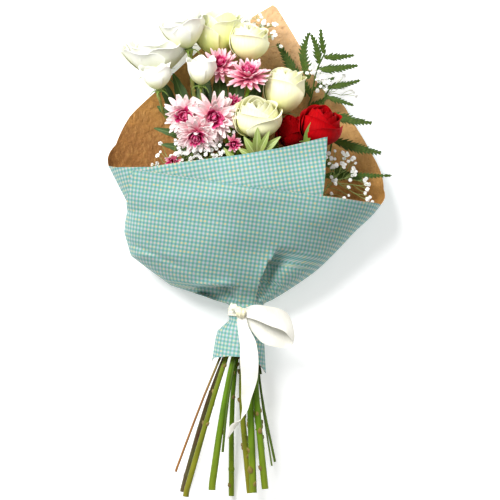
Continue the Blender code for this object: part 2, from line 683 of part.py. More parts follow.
def floret(radius):
    """A floret: a low five-sided star between two tips."""
    shape = bmesh.new()
    bmesh.ops.create_cone(shape, cap_ends=False, segments=5, radius1=radius, radius2=0,
                          depth=0.5 * radius, matrix=Matrix.Translation((0, 0, 0.25 * radius)))
    bmesh.ops.create_cone(shape, cap_ends=False, segments=5, radius1=0, radius2=radius,
                          depth=0.8 * radius, matrix=Matrix.Translation((0, 0, -0.4 * radius)))
    bmesh.ops.remove_doubles(shape, verts=shape.verts, dist=0.001)
    return shape


def breath(name, ends, draw):
    """A spray of baby's breath: thin twigs from the main stem, each with its florets."""
    plant, line = Plant(name, "breath"), LINES[name]
    points = thinned(line.points)
    plant.tube(points, [line.radius] * len(points), 0)
    upper = line.points[-8:]
    for end, count in ends:
        for _ in range(count):
            tip = Vector(end) + Vector((draw.uniform(-4, 4), draw.uniform(-3.5, 3.5), draw.uniform(-2, 3)))
            start = nearest(upper, tip - Vector((0, 14, 0)))
            probe = [[p - Vector((0, 0, 0.7)), p + Vector((0, 0, 0.7))] for p in (start, start.lerp(tip, 0.5), tip)]
            shape, place = floret(draw.uniform(2.6, 3.2)), facing((0, draw.uniform(-0.3, 0.8), 1), tip)
            shape.verts.index_update()
            corners = [place @ v.co for v in shape.verts]
            if is_clear(corners, [[v.index for v in f.verts] for f in shape.faces]) and is_clear(*blade(probe)):
                plant.tube([start, tip], [0.6, 0.5], 0)
                plant.solid(shape, place)
            else:
                shape.free()
    return plant.join()


def sprig(name, leaves):
    plant, line = Plant(name, "leaf"), LINES[name]
    points = thinned(line.points)
    plant.tube(points, [line.radius] * len(points), 0)
    for root, tip, width in leaves:
        root = nearest(line.points, root)
        plant.fitted(lambda size: (leaf(root, root.lerp(Vector(tip), size), width * size), BLADE,
                                   Matrix()), (1, 0.85, 0.7, 0.55))
    return plant.join()


def table(values, at):
    """Reads a table of heights or turns between its entries, in straight runs."""
    keys = sorted(values)
    return np.interp(at, keys, [values[k] for k in keys])


def paper_point(turn, height):
    """Outer face of the wrap at a turn in degrees and a height along the bunch."""
    middle_x, wide, middle_z, deep = (table({k: v[i] for k, v in SECTIONS.items()}, height) for i in range(4))
    loose = table({NECK_HIGH: 0, -20: 0.5, 40: 1}, height) + table({-124: 0.6, NECK_LOW: 0}, height)
    layer = (PAPER_TURN + PAPER_LOOSE * loose) * (turn - FLAP_START) / 360
    angle = math.radians(turn)
    x = middle_x + (wide + layer) * math.cos(angle)
    z = middle_z + (deep + layer) * math.sin(angle)
    return (float(x), float(height), max(float(z), 0.0))


def paper_wrap():
    """One sheet wound round the bunch, from the inner flap's edge to the outer flap's."""
    corners = sorted(RIM)
    turns = [corners[0]]
    for a, b in zip(corners, corners[1:]):
        steps = max(1, round((b - a) / COLUMN_STEP))
        turns += [a + (b - a) * (i + 1) / steps for i in range(steps)]
    last = corners[-1]
    rows = []
    for row in range(1 + len(FIXED_ROWS) + len(RIM_ROWS)):
        line = []
        for turn in turns:
            if row == 0:
                height = table(HEM, turn)
            elif row <= len(FIXED_ROWS):
                height = FIXED_ROWS[row - 1]
            else:
                top = FIXED_ROWS[-1]
                height = top + (table(RIM, turn) - top) * RIM_ROWS[row - 1 - len(FIXED_ROWS)]
            share = (turn - FLAP_START) / (last - FLAP_START)
            past = (table(FLAP_END, height) - last) * max(0.0, (share - 0.72) / 0.28)
            line.append(paper_point(turn + past, height))
        rows.append(line)
    plant = Plant("paper_wrap", "paper")
    wrap = plant.sheet(rows, PAPER)
    wrap.modifiers["thickness"].offset = 1
    return plant.join()


def ring(inner, outer, low, high, segments, place):
    """A band round +Y with a square section."""
    shape = bmesh.new()
    loops = []
    for radius, height in ((inner, low), (outer, low), (outer, high), (inner, high)):
        loops.append([shape.verts.new((radius * math.cos(math.tau * i / segments), height,
                                       radius * math.sin(math.tau * i / segments))) for i in range(segments)])
    for a, b in zip(loops, loops[1:] + loops[:1]):
        for i in range(segments):
            j = (i + 1) % segments
            shape.faces.new((a[i], a[j], b[j], b[i]))
    bmesh.ops.recalc_face_normals(shape, faces=shape.faces)
    shape.transform(place)
    return shape


# Ribbon: the strip's middle line with its half width as a vector, from the knot outwards.
KNOT = (-8.0, -69.0, 58.3)
LOOP = [
    ((-6, -69, 58), (0, 5, 2)), ((8, -68, 66), (-1, 9, 1)), ((26, -74, 73), (-3, 12, 2)),
    ((42, -80, 72), (-5, 13, 3)), ((51, -87, 63), (-6, 14, 3)), ((43, -92, 55), (-6, 14, 3)),
    ((26, -91, 53), (-4, 12, 2)), ((8, -82, 54), (-2, 8, 1)), ((-6, -71, 55), (0, 4, 1)),
]
TAIL = [
    ((-8, -67, 57), (4, 0, 0)), ((-6, -84, 60), (6, 0, 1)), ((-1, -100, 62), (9, 0, 2)),
    ((1, -124, 63), (10, 1, 2)), ((1, -142, 59), (9, 1, 1)), ((-2, -162, 55), (6, 1, 0)),
    ((-5, -180, 53), (2.2, 0, 2)), ((-10, -189, 53), (0, 1.5, 3)), ((-18, -196, 53), (-1, 3.5, 2)),
    ((-23.5, -204, 53), (-0.5, 5, 0)),
]
SHORT_END = [((-7, -69, 59), (0, 4, 0)), ((-14, -68, 57), (-1, 7, 1)), ((-20, -68, 52), (-1, 7, 2))]


def strip(plant, stations, across=2):
    rows = []
    for middle, half in stations:
        middle, half = Vector(middle), Vector(half)
        rows.append([middle + half * (2 * i / (across - 1) - 1) for i in range(across)])
    return plant.sheet(rows, RIBBON)


def ribbon():
    """One ribbon: the band round the neck, the knot, a loop, the short end and the tail."""
    plant = Plant("ribbon", "ribbon")
    place = Matrix.Translation((TIE.x, 0, TIE.z))
    plant.solid(ring(PAPER_NECK + PAPER_TURN + 1.0, PAPER_NECK + PAPER_TURN + 2.0, -75.0, -64.0, 18, place))
    plant.solid(ball(7.0, 6.0, 0.0, 8, 5), Matrix.Translation(KNOT) @ Matrix.Rotation(0.5, 4, "Z"))
    strip(plant, LOOP)
    strip(plant, TAIL)
    strip(plant, SHORT_END)
    return plant.join()


def binding():
    """The tie round the stems, inside the paper."""
    plant = Plant("stem_binding", "binding")
    place = Matrix.Translation((TIE.x, 0, TIE.z))
    plant.solid(ring(BUNDLE_RADIUS + 0.45, BUNDLE_RADIUS + 2.0, -71.0, -67.0, 18, place))
    return plant.join()


def lay_out():
    """Routes every stem and branch, then settles them against each other."""
    blooms = []
    for name, (base, axis, radius, height, _, above, _) in ROSES.items():
        LINES[name] = Line(name, stem_line(name, above, Vector(base) - Vector(axis).normalized() * 5, axis),
                           STEMS[name][2], name, STEMS[name][1])
        blooms.append((name, Vector(base) + Vector(axis).normalized() * 0.5 * height, 1.05 * radius))
    forks = [("lisianthus", LISIANTHUS_FORK, [(n, b, a, 4.2, v, h) for n, b, a, r, h, c, v in LISIANTHUS])]
    forks += [(stem, fork, [(n, m, a, 0.25 * r, v, 0.3 * r) for n, m, a, r, _, v in flowers])
              for stem, (fork, flowers) in MUM_STEMS.items()]
    for stem, fork, branches in forks:
        main = stem_line(stem, [fork])
        LINES[stem] = Line(stem, main, STEMS[stem][2], slot=STEMS[stem][1])
        for name, base, axis, size, above, height in branches:
            points = branch_line(fork, Vector(main[-1]), above, base, axis, size)
            LINES[name] = Line(stem, points, STEMS[stem][2] * 0.62, name)
            blooms.append((name, Vector(base) + Vector(axis).normalized() * 0.5 * height, 3.9 * size))
    for group in (FERNS, BREATH, {"leafy_sprig": SPRIG}):
        for name, (rib, _) in group.items():
            LINES[name] = Line(name, stem_line(name, rib), STEMS[name][2], slot=STEMS[name][1])
    settle(list(LINES.values()), blooms)


def bouquet():
    lay_out()
    paper_wrap()
    binding()
    ribbon()
    draw = random.Random(SEED)
    for name, (base, axis, *_) in ROSES.items():
        rose_stem(name, base, axis)
    branching_stem("lisianthus", [(n, b, a, 4.2) for n, b, a, *_ in LISIANTHUS], 3)
    for name, (_, blooms) in MUM_STEMS.items():
        branching_stem(name, [(n, m, a, 0.25 * r) for n, m, a, r, _, _ in blooms], 0)
    for name, (base, axis, radius, height, counts, _, colour) in ROSES.items():
        cup_bloom(name, base, axis, radius, height, counts, colour, name + "_stem")
    for name, base, axis, radius, height, counts, _ in LISIANTHUS:
        cup_bloom(name, base, axis, radius, height, counts, "white", "lisianthus_stem")
    for stem, (_, blooms) in MUM_STEMS.items():
        for name, middle, normal, radius, rings, _ in blooms:
            mum_bloom(name, middle, normal, radius, rings, stem + "_stem")
    for name, (_, leaflets) in FERNS.items():
        fern(name, leaflets)
    sprig("leafy_sprig", SPRIG[1])
    for name, (_, ends) in BREATH.items():
        breath(name, ends, draw)


def centre(objects):
    """Moves the bunch so that the middle of its box, at its lowest level, is the origin."""
    points = np.array([tuple(v.co) for made in objects for v in made.data.vertices])
    low, high = points.min(axis=0), points.max(axis=0)
    shift = Matrix.Translation((-(low[0] + high[0]) / 2, -(low[1] + high[1]) / 2, -low[2]))
    for made in objects:
        made.data.transform(shift)


clear_scene()
BOUQUET = bpy.data.collections.new("bouquet")
WORKSHOP = bpy.data.collections.new("workshop")
for collection in (BOUQUET, WORKSHOP):
    bpy.context.scene.collection.children.link(collection)
OBSTACLES, LINES = {}, {}
bouquet()
centre(BOUQUET.objects)
bpy.data.collections.remove(WORKSHOP)
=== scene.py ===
# %% [markdown]
# # A hand-tied bouquet, dressed for its picture
# The bunch lies on its back: roses, lisianthus, spray chrysanthemums, baby's breath and fern, in a sheet of paper
# that is kraft brown inside and printed with a small check outside, tied with a satin ribbon.
# The solids of the part come first. They are the frame: each thing below is laid where its solid lies.

# %% The frame
import math

import bpy
import numpy as np
from mathutils import Matrix, Vector


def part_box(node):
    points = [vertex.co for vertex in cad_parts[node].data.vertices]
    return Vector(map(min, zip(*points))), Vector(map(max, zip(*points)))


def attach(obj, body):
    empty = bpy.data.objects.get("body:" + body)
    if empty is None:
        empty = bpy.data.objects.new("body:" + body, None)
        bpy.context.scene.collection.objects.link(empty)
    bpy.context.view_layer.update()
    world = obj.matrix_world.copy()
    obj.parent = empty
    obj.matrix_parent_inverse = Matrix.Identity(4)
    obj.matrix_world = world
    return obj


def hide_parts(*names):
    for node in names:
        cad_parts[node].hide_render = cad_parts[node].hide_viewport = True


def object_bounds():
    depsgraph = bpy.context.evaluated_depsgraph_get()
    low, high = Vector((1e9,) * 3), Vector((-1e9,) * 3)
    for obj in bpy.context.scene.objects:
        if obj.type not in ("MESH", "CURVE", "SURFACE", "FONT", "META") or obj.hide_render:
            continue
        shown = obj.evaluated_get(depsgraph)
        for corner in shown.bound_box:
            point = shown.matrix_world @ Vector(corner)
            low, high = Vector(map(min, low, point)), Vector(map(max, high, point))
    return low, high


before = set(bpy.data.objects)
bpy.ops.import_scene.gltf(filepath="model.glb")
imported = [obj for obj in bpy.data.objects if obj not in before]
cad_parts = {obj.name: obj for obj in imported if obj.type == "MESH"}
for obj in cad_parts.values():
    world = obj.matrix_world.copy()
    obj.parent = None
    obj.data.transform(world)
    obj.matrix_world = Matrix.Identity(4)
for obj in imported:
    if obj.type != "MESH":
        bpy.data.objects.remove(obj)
cad_box = [[float(v) for v in corner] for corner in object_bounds()]
MM = 0.001
TIE = np.array([-2.0, -69.0, 33.0])  # middle of the bound stems, in the layout's millimetres
low, high = (np.array(corner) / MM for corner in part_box("stem_binding"))
SHIFT = ((low + high) / 2 - TIE) * (1, 1, 0)  # from the layout to the frame
print("nodes", len(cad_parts), "shift", SHIFT.round(3))

# %% [markdown]
# ## Shapes from arrays
# A petal, a leaf and a sheet of paper are all the same thing to a mesh: a grid of points that gets a small
# thickness. A stem is a ring carried along a path. `Piece` gathers such shapes, worked out as whole arrays, and
# turns them into one object. The grid's own coordinates go along as a UV map, so that a colour can run from the root
# of every petal to its lip. The other way would be one object for each petal, which is slow and heavy.

# %% Piece
def unit(vectors):
    return vectors / np.maximum(np.linalg.norm(vectors, axis=-1, keepdims=True), 1e-9)


class Piece:
    """Closed shapes, in millimetres, that become one object."""

    def __init__(self):
        self.points, self.quads, self.corners, self.uv, self.tone, self.count = [], [], [], [], [], 0

    def add(self, points, quads, triangles, uv, tone):
        spread = np.concatenate([quads[:, [0, 1, 2]], quads[:, [0, 2, 3]], triangles])
        a, b, c = (points[spread[:, k]] - points[0] for k in range(3))
        if np.einsum("ij,ij->", a, np.cross(b, c)) < 0:  # the volume is negative where the faces look inwards
            quads, triangles = quads[:, ::-1], triangles[:, ::-1]
        self.points.append(points)
        self.quads.append(quads + self.count)
        self.corners.append(triangles + self.count)
        self.uv.append(uv)
        self.tone.append(tone)
        self.count += len(points)

    def blades(self, grids, thickness, tone=0.5, uv=None):
        """Grids of points (n, rows, columns, 3) as thin closed blades: two faces half a thickness off, and a rim."""
        n, rows, columns = grids.shape[:3]
        normal = unit(np.cross(np.gradient(grids, axis=2), np.gradient(grids, axis=1)))
        points = np.stack([grids + normal * thickness / 2, grids - normal * thickness / 2], axis=1)
        at = np.arange(rows * columns).reshape(rows, columns)
        face = np.stack([at[:-1, :-1], at[:-1, 1:], at[1:, 1:], at[1:, :-1]], axis=-1).reshape(-1, 4)
        loop = np.concatenate([at[0, :-1], at[:-1, -1], at[-1, :0:-1], at[:0:-1, 0]])
        other, half = np.roll(loop, -1), rows * columns
        rim = np.stack([loop, loop + half, other + half, other], axis=-1)
        quads = np.concatenate([face, face[:, ::-1] + half, rim])
        quads = (quads[None] + np.arange(n)[:, None, None] * 2 * half).reshape(-1, 4)
        if uv is None:
            s, c = np.linspace(0, 1, rows), np.linspace(0, 1, columns)
            uv = np.broadcast_to(np.stack(np.meshgrid(s, c, indexing="ij"), axis=-1), (n, rows, columns, 2))
        uv = np.repeat(uv[:, None], 2, axis=1).reshape(-1, 2)
        tone = np.repeat(np.broadcast_to(tone, (n,)), 2 * half)
        self.add(points.reshape(-1, 3), quads, np.zeros((0, 3), int), uv, tone)

    def tube(self, path, radii, sides=10, tone=0.5):
        """A ring of that radius carried along the path, with a fan over each end."""
        path = np.asarray(path, float)
        radii = np.broadcast_to(radii, (len(path),))
        ahead = unit(np.gradient(path, axis=0))
        mean = np.abs(ahead.mean(axis=0))
        level = np.eye(3)[mean.argmin()]
        side = unit(np.cross(ahead, level))
        up = np.cross(side, ahead)
        angle = np.arange(sides) * math.tau / sides
        ring = np.cos(angle)[None, :, None] * side[:, None] + np.sin(angle)[None, :, None] * up[:, None]
        points = (path[:, None] + ring * radii[:, None, None]).reshape(-1, 3)
        at = np.arange(len(path) * sides).reshape(len(path), sides)
        turned = np.roll(at, -1, axis=1)
        quads = np.stack([at[:-1], turned[:-1], turned[1:], at[1:]], axis=-1).reshape(-1, 4)
        first, last = len(points), len(points) + 1
        fans = np.concatenate([np.stack([turned[0], at[0], np.full(sides, first)], axis=-1),
                               np.stack([at[-1], turned[-1], np.full(sides, last)], axis=-1)])
        points = np.concatenate([points, path[[0, -1]]])
        along = np.concatenate([[0], np.cumsum(np.linalg.norm(np.diff(path, axis=0), axis=1))])
        along /= along[-1]
        uv = np.stack([np.repeat(along, sides), np.tile(angle / math.tau, len(path))], axis=-1)
        uv = np.concatenate([uv, [[0, 0.5], [1, 0.5]]])
        self.add(points, quads, fans, uv, np.full(len(points), tone))

    def make(self, name, finish, slot, *nodes):
        points = (np.concatenate(self.points) + SHIFT) * MM
        quads, fans = np.concatenate(self.quads), np.concatenate(self.corners)
        loops = np.concatenate([quads.ravel(), fans.ravel()])
        starts = np.concatenate([np.arange(len(quads)) * 4, len(quads) * 4 + np.arange(len(fans)) * 3])
        mesh = bpy.data.meshes.new(name)
        mesh.vertices.add(len(points))
        mesh.vertices.foreach_set("co", points.ravel())
        mesh.loops.add(len(loops))
        mesh.loops.foreach_set("vertex_index", loops.astype(np.int32))
        mesh.polygons.add(len(starts))
        mesh.polygons.foreach_set("loop_start", starts.astype(np.int32))
        mesh.update(calc_edges=True)
        mesh.uv_layers.new(name="grown").data.foreach_set("uv", np.concatenate(self.uv)[loops].ravel())
        mesh.attributes.new("tone", "FLOAT", "POINT").data.foreach_set("value", np.concatenate(self.tone))
        mesh.materials.append(finish)
        mesh.shade_smooth()
        mesh.set_sharp_from_angle(angle=math.radians(50))
        made = bpy.data.objects.new(name, mesh)
        bpy.context.collection.objects.link(made)
        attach(made, "root")
        if nodes:
            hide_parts(*nodes)
        print(f"{name}: {len(mesh.polygons)} faces")
        return made


# %% [markdown]
# ## Leaf-like blades
# Sepals, fern leaflets, chrysanthemum rays and the petals of baby's breath are all pointed blades between a root and a
# tip. One function makes hundreds of them at once from arrays of roots and tips.

# %% Blades between a root and a tip
OUTLINES = {  # half width along the blade, s from 0 at the root to 1 at the tip
    "ray": lambda s: np.sin(math.pi * (0.10 + 0.86 * s)) ** 0.7,
    "leaf": lambda s: np.sin(math.pi * (0.06 + 0.91 * s) ** 0.8) ** 0.9,
    "sepal": lambda s: 1.02 - s ** 1.3,
    "lobed": lambda s: np.sin(math.pi * (0.05 + 0.92 * s) ** 0.8) ** 0.8 * (0.80 + 0.20 * np.abs(np.sin(4 * math.pi * s))),
    "tooth": lambda s: 1.0 - s ** 1.6,
    "spoon": lambda s: np.sin(math.pi * (0.10 + 0.78 * s ** 1.4)) ** 0.7,
}


def between(roots, tips, ups, widths, outline, rows=5, columns=3, arch=0.0, fold=0.0, curl=0.0):
    """Grids of blades. A point is root + s (tip - root) + up (arch sin(pi s) + curl s^2) length
    + side c half(s) + up fold |c| half(s), with s along and c from -1 to 1 across."""
    roots, tips = np.atleast_2d(roots).astype(float), np.atleast_2d(tips).astype(float)
    ups = np.broadcast_to(np.asarray(ups, float), roots.shape)
    along = tips - roots
    length = np.linalg.norm(along, axis=1)[:, None, None]
    side = unit(np.cross(along, ups))
    up = unit(np.cross(side, along))
    s = np.linspace(0, 1, rows)[None, :, None]
    c = np.linspace(-1, 1, columns)[None, None, :]
    half = np.maximum(OUTLINES[outline](s), 0.03) * np.broadcast_to(widths, (len(roots),))[:, None, None] / 2
    lift = (arch * np.sin(math.pi * s) + curl * s**2) * length + fold * np.abs(c) * half
    spot = roots[:, None, None] + along[:, None, None] * s[..., None]
    return spot + side[:, None, None] * (c * half)[..., None] + up[:, None, None] * lift[..., None]


def stand(points, base, axis):
    """Turns points made round +Z so that they stand on base along axis."""
    turn = np.array(Vector(axis).normalized().to_track_quat("Z", "Y").to_matrix())
    return points @ turn.T + np.asarray(base, float)


def curve_through(points, steps=8):
    """A smooth path through the points; each tangent is weighted by the lengths beside it."""
    p = np.asarray(points, float)
    gaps = np.maximum(np.linalg.norm(np.diff(p, axis=0), axis=1), 1e-6)[:, None]
    slope = np.diff(p, axis=0) / gaps
    inner = (slope[:-1] * gaps[1:] + slope[1:] * gaps[:-1]) / (gaps[:-1] + gaps[1:])
    tangent = np.concatenate([slope[:1], inner, slope[-1:]])
    t = np.linspace(0, 1, steps, endpoint=False)[None, :, None]
    a, b = p[:-1, None], p[1:, None]
    leave, arrive = tangent[:-1, None] * gaps[:, None], tangent[1:, None] * gaps[:, None]
    line = a * (2*t**3 - 3*t**2 + 1) + leave * (t**3 - 2*t**2 + t) + b * (3*t**2 - 2*t**3) + arrive * (t**3 - t**2)
    return np.concatenate([line.reshape(-1, 3), p[-1:]])


# %% [markdown]
# ## Finishes
# Every finish starts from the same shader. Petals take their colour from the grid's own length, so a rose is
# greener at the base and a chrysanthemum crimson near its heart. The `streaks` group draws the fine veins that
# petals, leaves and stems share: noise stretched along the growth.

# %% The streaks group
def link(tree, a, b):
    tree.links.new(a, b)


def streaks_group():
    tree = bpy.data.node_groups.new("streaks", "ShaderNodeTree")
    face = tree.interface
    for label, kind, value in (("Along", "NodeSocketFloat", 3.0), ("Across", "NodeSocketFloat", 30.0),
                               ("Depth", "NodeSocketFloat", 0.0002)):
        face.new_socket(label, in_out="INPUT", socket_type=kind).default_value = value
    face.new_socket("Value", in_out="OUTPUT", socket_type="NodeSocketFloat")
    face.new_socket("Normal", in_out="OUTPUT", socket_type="NodeSocketVector")
    inputs, outputs = tree.nodes.new("NodeGroupInput"), tree.nodes.new("NodeGroupOutput")
    where, parts = tree.nodes.new("ShaderNodeUVMap"), tree.nodes.new("ShaderNodeSeparateXYZ")
    where.uv_map = "grown"
    tone = tree.nodes.new("ShaderNodeAttribute")
    tone.attribute_name = "tone"
    link(tree, where.outputs["UV"], parts.inputs[0])
    scaled = tree.nodes.new("ShaderNodeCombineXYZ")
    for axis, label in (("X", "Along"), ("Y", "Across")):
        times = tree.nodes.new("ShaderNodeMath")
        times.operation = "MULTIPLY"
        link(tree, parts.outputs[axis], times.inputs[0])
        link(tree, inputs.outputs[label], times.inputs[1])
        link(tree, times.outputs[0], scaled.inputs[axis])
    apart = tree.nodes.new("ShaderNodeMath")
    apart.operation, apart.inputs[1].default_value = "MULTIPLY", 57.0
    link(tree, tone.outputs["Fac"], apart.inputs[0])
    link(tree, apart.outputs[0], scaled.inputs["Z"])
    noise = tree.nodes.new("ShaderNodeTexNoise")
    noise.inputs["Scale"].default_value, noise.inputs["Detail"].default_value = 1.0, 3.0
    link(tree, scaled.outputs[0], noise.inputs["Vector"])
    bump = tree.nodes.new("ShaderNodeBump")
    link(tree, noise.outputs["Fac"], bump.inputs["Height"])
    link(tree, inputs.outputs["Depth"], bump.inputs["Distance"])
    link(tree, noise.outputs["Fac"], outputs.inputs["Value"])
    link(tree, bump.outputs[0], outputs.inputs["Normal"])
    return tree


STREAKS = streaks_group()


# %% Finishes for what grows
def start_finish(name, rough, **sockets):
    finish = bpy.data.materials.new(name)
    finish.use_nodes = True
    tree = finish.node_tree
    shader = tree.nodes["Principled BSDF"]
    shader.inputs["Roughness"].default_value = rough
    for label, value in sockets.items():
        shader.inputs[label.replace("_", " ")].default_value = value
    return finish, tree, shader


def ramp(tree, stops, value):
    node = tree.nodes.new("ShaderNodeValToRGB")
    elements = node.color_ramp.elements
    while len(elements) < len(stops):
        elements.new(0.5)
    for element, (place, colour) in zip(elements, stops):
        element.position, element.color = place, (*colour, 1)
    link(tree, value, node.inputs["Fac"])
    return node.outputs["Color"]


def mixed(tree, mode, share, a, b):
    node = tree.nodes.new("ShaderNodeMix")
    node.data_type, node.blend_type = "RGBA", mode
    for socket, value in ((node.inputs["Factor"], share), (node.inputs[6], a), (node.inputs[7], b)):
        if isinstance(value, (int, float)):
            socket.default_value = value
        elif isinstance(value, tuple):
            socket.default_value = (*value, 1)
        else:
            link(tree, value, socket)
    return node.outputs[2]


def maths(tree, operation, a, b=None):
    node = tree.nodes.new("ShaderNodeMath")
    node.operation = operation
    for socket, value in zip(node.inputs, (a, b)):
        if isinstance(value, (int, float)):
            socket.default_value = value
        elif value is not None:
            link(tree, value, socket)
    return node.outputs[0]


def grown(name, stops, dark, rough, along=3.0, across=30.0, depth=0.0003, vary=0.35, rib=None, **sockets):
    """Colour along the growth by stops, darker streaks, and a lighter or darker tone for each blade."""
    finish, tree, shader = start_finish(name, rough, **sockets)
    where, parts = tree.nodes.new("ShaderNodeUVMap"), tree.nodes.new("ShaderNodeSeparateXYZ")
    where.uv_map = "grown"
    link(tree, where.outputs["UV"], parts.inputs[0])
    colour = ramp(tree, stops, parts.outputs["X"])
    streaks = tree.nodes.new("ShaderNodeGroup")
    streaks.node_tree = STREAKS
    for label, value in (("Along", along), ("Across", across), ("Depth", depth)):
        streaks.inputs[label].default_value = value
    share = ramp(tree, [(0.35, (0, 0, 0)), (0.75, (vary, vary, vary))], streaks.outputs["Value"])
    colour = mixed(tree, "MIX", share, colour, dark)
    if rib:
        off = maths(tree, "ABSOLUTE", maths(tree, "SUBTRACT", parts.outputs["Y"], 0.5))
        colour = mixed(tree, "MIX", ramp(tree, [(0.02, (0.9, 0.9, 0.9)), (0.09, (0, 0, 0))], off), colour, rib)
    tone = tree.nodes.new("ShaderNodeAttribute")
    tone.attribute_name = "tone"
    shade = ramp(tree, [(0.0, (0.80, 0.80, 0.80)), (0.5, (0.97, 0.97, 0.97)), (1.0, (1, 1, 1))], tone.outputs["Fac"])
    link(tree, mixed(tree, "MULTIPLY", 1.0, colour, shade), shader.inputs["Base Color"])
    link(tree, streaks.outputs["Normal"], shader.inputs["Normal"])
    return finish


CREAM = grown("cream rose petal", [(0.0, (0.42, 0.55, 0.10)), (0.25, (0.80, 0.82, 0.34)), (0.6, (0.91, 0.90, 0.56)),
                                   (1.0, (0.95, 0.94, 0.70))], (0.80, 0.80, 0.36), 0.6, Specular_IOR_Level=0.3)
LIME = grown("lime cream rose petal", [(0.0, (0.50, 0.66, 0.08)), (0.35, (0.80, 0.88, 0.26)), (0.7, (0.92, 0.93, 0.52)),
                                       (1.0, (0.95, 0.96, 0.78))], (0.78, 0.84, 0.34), 0.6, Specular_IOR_Level=0.3)
# The red petal darkens again at the lip: painted shade along the rolled edges, over the rose's own deep red.
RED = grown("red rose petal", [(0.0, (0.12, 0.0, 0.002)), (0.5, (0.36, 0.0, 0.002)), (0.9, (0.50, 0.0, 0.003)),
                               (1.0, (0.40, 0.0, 0.003))], (0.18, 0.0, 0.002), 0.7, vary=0.5, Specular_IOR_Level=0.08)
WHITE = grown("white lisianthus petal", [(0.0, (0.55, 0.68, 0.16)), (0.25, (0.88, 0.92, 0.52)),
                                         (0.5, (0.97, 0.98, 0.84)), (1.0, (0.98, 0.98, 0.95))],
              (0.93, 0.94, 0.74), 0.55, vary=0.25, Specular_IOR_Level=0.3)
PINK = grown("pink ray petal", [(0.0, (0.50, 0.01, 0.08)), (0.22, (0.76, 0.14, 0.27)), (0.45, (0.92, 0.50, 0.55)),
                                (0.7, (0.95, 0.77, 0.77)), (1.0, (0.97, 0.92, 0.87))],
             (0.90, 0.50, 0.56), 0.55, across=6.0, vary=0.3, Specular_IOR_Level=0.3)
ROSY = grown("rosy ray petal", [(0.0, (0.42, 0.0, 0.06)), (0.3, (0.68, 0.08, 0.20)), (0.6, (0.88, 0.32, 0.42)),
                                (0.85, (0.93, 0.60, 0.65)), (1.0, (0.95, 0.80, 0.80))],
             (0.75, 0.20, 0.32), 0.55, across=6.0, vary=0.3, Specular_IOR_Level=0.3)
HEART = grown("crimson ray petal", [(0.0, (0.16, 0.0, 0.02)), (0.45, (0.46, 0.005, 0.08)), (0.8, (0.68, 0.05, 0.20)),
                                    (1.0, (0.84, 0.26, 0.42))], (0.30, 0.0, 0.04), 0.55, across=6.0, Specular_IOR_Level=0.2)
STEM = grown("green stem", [(0.0, (0.20, 0.25, 0.012)), (0.2, (0.11, 0.23, 0.004)), (0.5, (0.16, 0.30, 0.006)),
                            (1.0, (0.24, 0.40, 0.04))], (0.07, 0.13, 0.005), 0.45, along=16.0, across=4.0, depth=0.0008,
             vary=0.8, Specular_IOR_Level=0.2)
OLIVE_STEM = grown("olive stem", [(0.0, (0.24, 0.22, 0.015)), (0.25, (0.17, 0.22, 0.006)), (0.5, (0.16, 0.25, 0.010)),
                                  (1.0, (0.28, 0.42, 0.06))], (0.09, 0.10, 0.008), 0.45, along=14.0, across=4.0, depth=0.0008,
                   vary=0.8, Specular_IOR_Level=0.2)
DARK_STEM = grown("dark stem", [(0.0, (0.11, 0.11, 0.04)), (0.5, (0.11, 0.13, 0.02)), (1.0, (0.30, 0.44, 0.07))],
                  (0.12, 0.03, 0.03), 0.45, along=14.0, across=4.0, depth=0.0008, vary=0.9, Specular_IOR_Level=0.2)
SCAR = grown("leaf scar", [(0.0, (0.22, 0.15, 0.03)), (1.0, (0.26, 0.20, 0.03))], (0.10, 0.05, 0.02), 0.6)
TWIG = grown("orange brown twig", [(0.0, (0.36, 0.15, 0.02)), (0.6, (0.28, 0.13, 0.03)), (1.0, (0.20, 0.22, 0.05))],
             (0.16, 0.06, 0.02), 0.5, along=10.0, across=4.0, vary=0.7)
FERN = grown("fern leaflet", [(0.0, (0.085, 0.135, 0.012)), (0.5, (0.046, 0.094, 0.010)), (1.0, (0.065, 0.120, 0.014))],
             (0.02, 0.045, 0.006), 0.55, across=9.0, vary=0.6, Specular_IOR_Level=0.2)
DARK_LEAF = grown("dark leaf", [(0.0, (0.10, 0.16, 0.03)), (0.5, (0.045, 0.085, 0.016)), (1.0, (0.055, 0.11, 0.022))],
                  (0.02, 0.04, 0.008), 0.5, across=9.0, vary=0.6, rib=(0.10, 0.17, 0.05), Specular_IOR_Level=0.2)
LEAF = grown("dark leaf", [(0.0, (0.10, 0.17, 0.04)), (0.5, (0.04, 0.085, 0.022)), (1.0, (0.05, 0.11, 0.03))],
                  (0.018, 0.04, 0.012), 0.5, across=9.0, vary=0.6, rib=(0.10, 0.17, 0.05))
LEAF = grown("light green leaf", [(0.0, (0.50, 0.56, 0.18)), (0.5, (0.29, 0.38, 0.09)), (1.0, (0.40, 0.48, 0.15))],
             (0.20, 0.28, 0.06), 0.5, across=10.0, vary=0.6, rib=(0.52, 0.60, 0.26))
CALYX = grown("calyx", [(0.0, (0.20, 0.32, 0.05)), (0.6, (0.13, 0.22, 0.03)), (1.0, (0.20, 0.28, 0.06))],
              (0.28, 0.28, 0.08), 0.5)
FLORET = grown("floret of breath", [(0.0, (0.70, 0.74, 0.42)), (0.3, (0.95, 0.95, 0.88)), (1.0, (0.98, 0.98, 0.96))],
               (0.90, 0.90, 0.80), 0.6, across=5.0, vary=0.2, Specular_IOR_Level=0.3)
SPRAY_TWIG = grown("twig of breath", [(0.0, (0.20, 0.28, 0.06)), (1.0, (0.30, 0.40, 0.12))], (0.16, 0.20, 0.05), 0.5)
print("finishes", len(bpy.data.materials))

